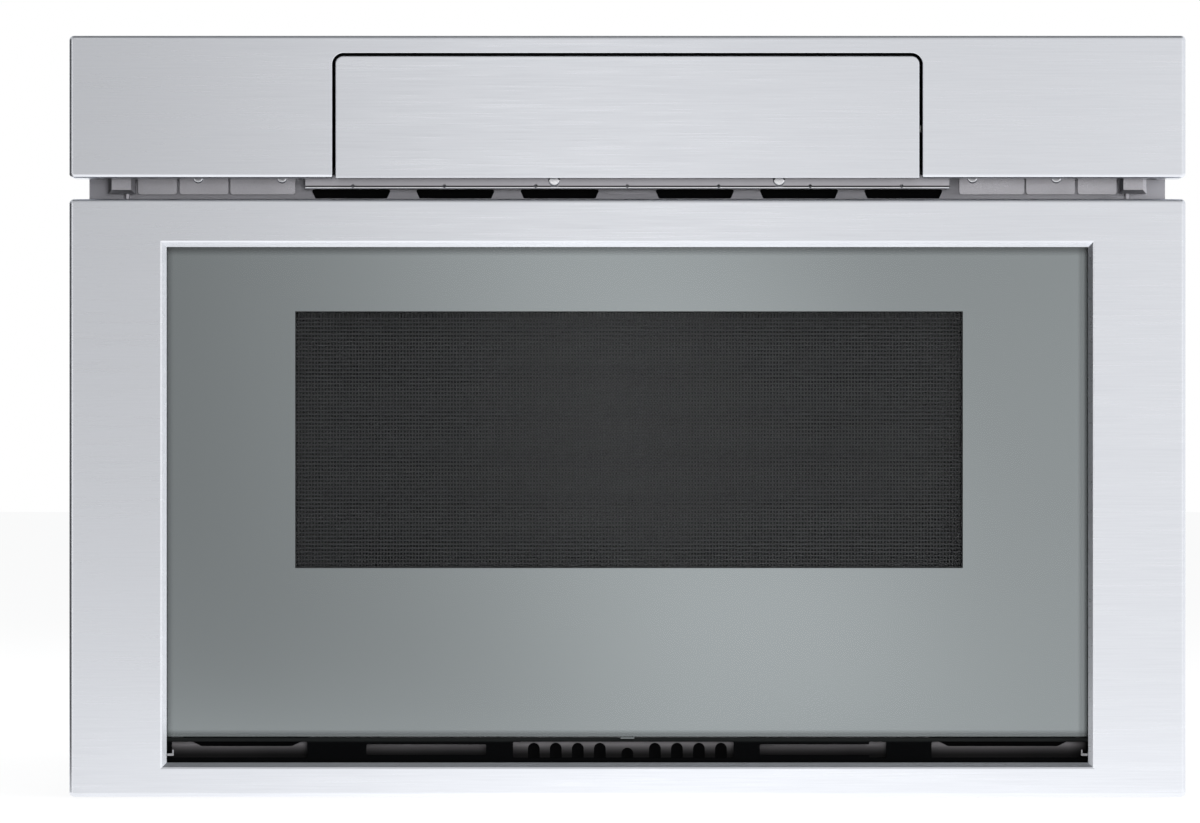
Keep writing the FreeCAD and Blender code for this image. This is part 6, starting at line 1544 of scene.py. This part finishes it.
@dataclass
class Floor:
    """White floor that keeps the shadow, with a graded glow for what mirrors it."""

    half: float = 14.0
    below: float = 0.0002
    paint: Colour = (0.86, 0.86, 0.86)
    glow: float = 1.11
    glow_share: float = 0.76  # of the glow in what the camera sees; the rest is paint
    tint: Colour = (1.98, 1.99, 2.0)  # of the mirrored glow
    depth: Range = (-1.0, 1.0)
    width: Range = (-1.1, 0.1)
    shift: Sequence[Stop] = ((0.12, 0.0), (0.26, 0.52), (0.36, 0.52), (0.60, 0.0))
    side: Sequence[Stop] = ((0.04, 0.04), (0.21, 0.74), (0.48, 1.0), (0.73, 0.86))
    level: Sequence[Stop] = ((0.12, 0.59), (0.28, 0.79), (0.40, 0.70))

    def build(self) -> None:
        """Lays the floor."""
        Bench.clear()
        bpy.ops.mesh.primitive_plane_add(size=2 * self.half, location=(0.0, 0.0, -self.below))
        floor = Bench.settle("floor")
        tree = MaterialTree("pale_floor")
        ray = tree.add("ShaderNodeLightPath", {}).outputs
        paint = tree.add("ShaderNodeBsdfDiffuse", {"Color": self.paint}).outputs[0]
        glow = tree.light("ShaderNodeEmission", WHITE, self.glow)
        share = tree.maths("MULTIPLY", ray["Is Camera Ray"], self.glow_share)
        depth = tree.span(tree.along(Axis.Y), WHOLE, self.depth)
        place = tree.maths("SUBTRACT", tree.along(Axis.X), tree.grey(depth, self.shift))
        side = tree.grey(tree.span(place, WHOLE, self.width), self.side)
        strength = tree.maths("MULTIPLY", side, tree.grey(depth, self.level))
        mirrored = tree.light("ShaderNodeEmission", self.tint, strength)
        lit = tree.either(share, paint, glow)
        tree.show(tree.either(ray["Is Glossy Ray"], lit, mirrored))
        Bench.dress(floor, tree.material)
        floor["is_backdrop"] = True


@dataclass
class ReflectorCard:
    """Graded reflector ahead of the drawer, seen only in its reflections."""

    size: Range = (3.0, 1.7)
    ahead: float = 1.15
    middle: float = 0.85
    slant: float = 0.35
    width: Range = (-1.5, 1.5)
    height: Range = (0.0, 1.7)
    across: Sequence[Stop] = ((0.0, 1.0), (0.30, 1.0), (0.36, 0.62), (0.39, 0.48), (0.42, 0.475),
                              (0.475, 0.73), (0.52, 1.12), (0.552, 1.14), (0.592, 0.82),
                              (0.66, 0.84), (0.74, 1.10), (1.0, 1.15))
    rise: Sequence[Stop] = ((0.0, 1.2), (0.294, 0.9), (0.42, 0.85), (1.0, 0.55))

    def build(self, front: float) -> None:
        """Hangs the card.

        Args:
            front: Y of the drawer's front.
        """
        Bench.clear()
        bpy.ops.mesh.primitive_plane_add(size=1.0, location=(0.0, front - self.ahead, self.middle),
                                         rotation=(math.pi / 2, 0.0, 0.0))
        bpy.context.object.scale = (*self.size, 1.0)
        card = Bench.settle("reflector_card")
        tree = MaterialTree("reflector")
        height = tree.along(Axis.Z)
        place = tree.maths("MULTIPLY_ADD", height, self.slant, tree.along(Axis.X))
        colour = tree.grey(tree.span(place, WHOLE, self.width), self.across)
        strength = tree.grey(tree.span(height, WHOLE, self.height), self.rise)
        tree.show(tree.light("ShaderNodeEmission", colour, strength))
        Bench.dress(card, tree.material)
        card.visible_camera = False
        card.visible_diffuse = False
        card.visible_shadow = False
        card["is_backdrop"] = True


@dataclass
class SoftLamp:
    """Square area lamp that no mirror shows."""

    name: str
    place: Point
    aim: Point
    size: float
    power: float

    def build(self) -> None:
        """Hangs the lamp and turns it to its aim."""
        data = bpy.data.lights.new(self.name, "AREA")
        data.size = self.size
        data.energy = self.power
        lamp = bpy.data.objects.new(self.name, data)
        lamp.location = self.place
        lamp.rotation_mode = "QUATERNION"
        lamp.rotation_quaternion = (Vector(self.aim) - Vector(self.place)).to_track_quat("-Z", "Y")
        lamp.visible_glossy = False
        bpy.context.scene.collection.objects.link(lamp)


@dataclass
class Studio:
    """Camera, pale floor, white background and soft light."""

    distance: float = 5.0
    eye_x: float = -0.0149
    eye_z: float = 0.2102
    frame_width: float = 0.6517  # of the picture, at the drawer's front
    sensor: float = 36.0  # millimetres
    sight: float = 100.0

    def build(self) -> None:
        """Builds the whole set."""
        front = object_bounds()[0].y
        self.camera(front)
        Surround().build()
        Floor().build()
        ReflectorCard().build(front)
        self.lamps(front)
        bpy.context.scene.view_settings.view_transform = "Standard"

    def camera(self, front: float) -> None:
        """Sets the camera square to the front, as far off as a long lens stands.

        Args:
            front: Y of the drawer's front.
        """
        data = bpy.data.cameras.new("camera")
        data.sensor_width = self.sensor
        data.lens = self.sensor * self.distance / self.frame_width
        data.clip_end = self.sight
        camera = bpy.data.objects.new("camera", data)
        camera.location = (self.eye_x, front - self.distance, self.eye_z)
        camera.rotation_euler = (math.pi / 2, 0.0, 0.0)
        bpy.context.scene.collection.objects.link(camera)
        bpy.context.scene.camera = camera

    def lamps(self, front: float) -> None:
        """Hangs large soft lamps above, beside, before and behind the drawer.

        Args:
            front: Y of the drawer's front.
        """
        for lamp in (
                SoftLamp("lamp_above", (0.2, front - 1.0, 2.4), (0.0, 0.0, 0.2), 2.2, 24.0),
                SoftLamp("lamp_right", (2.6, front - 0.8, 0.42), (0.2, front, 0.25), 0.8, 70.0),
                SoftLamp("lamp_front", (0.5, front - 4.2, 0.5), (0.0, front, 0.2), 1.0, 58.0),
                SoftLamp("lamp_behind", (-1.4, 1.8, 1.9), (0.0, 0.0, 0.2), 1.6, 16.0)):
            lamp.build()


def main() -> None:
    """Builds the sub-assemblies in order and reports each piece."""
    logging.basicConfig(level=logging.INFO, format="%(message)s")
    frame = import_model()
    Bench.clear()
    finishes = Finishes()
    finishes.dress_nodes(frame)
    for assembly in (DoorWindow(), AirStrip(), TouchLegend()):
        for piece in assembly.build(finishes):
            LOG.info("%s: %d faces", piece.name, len(piece.data.polygons))
    Studio().build()


if __name__ == "__main__":
    main()
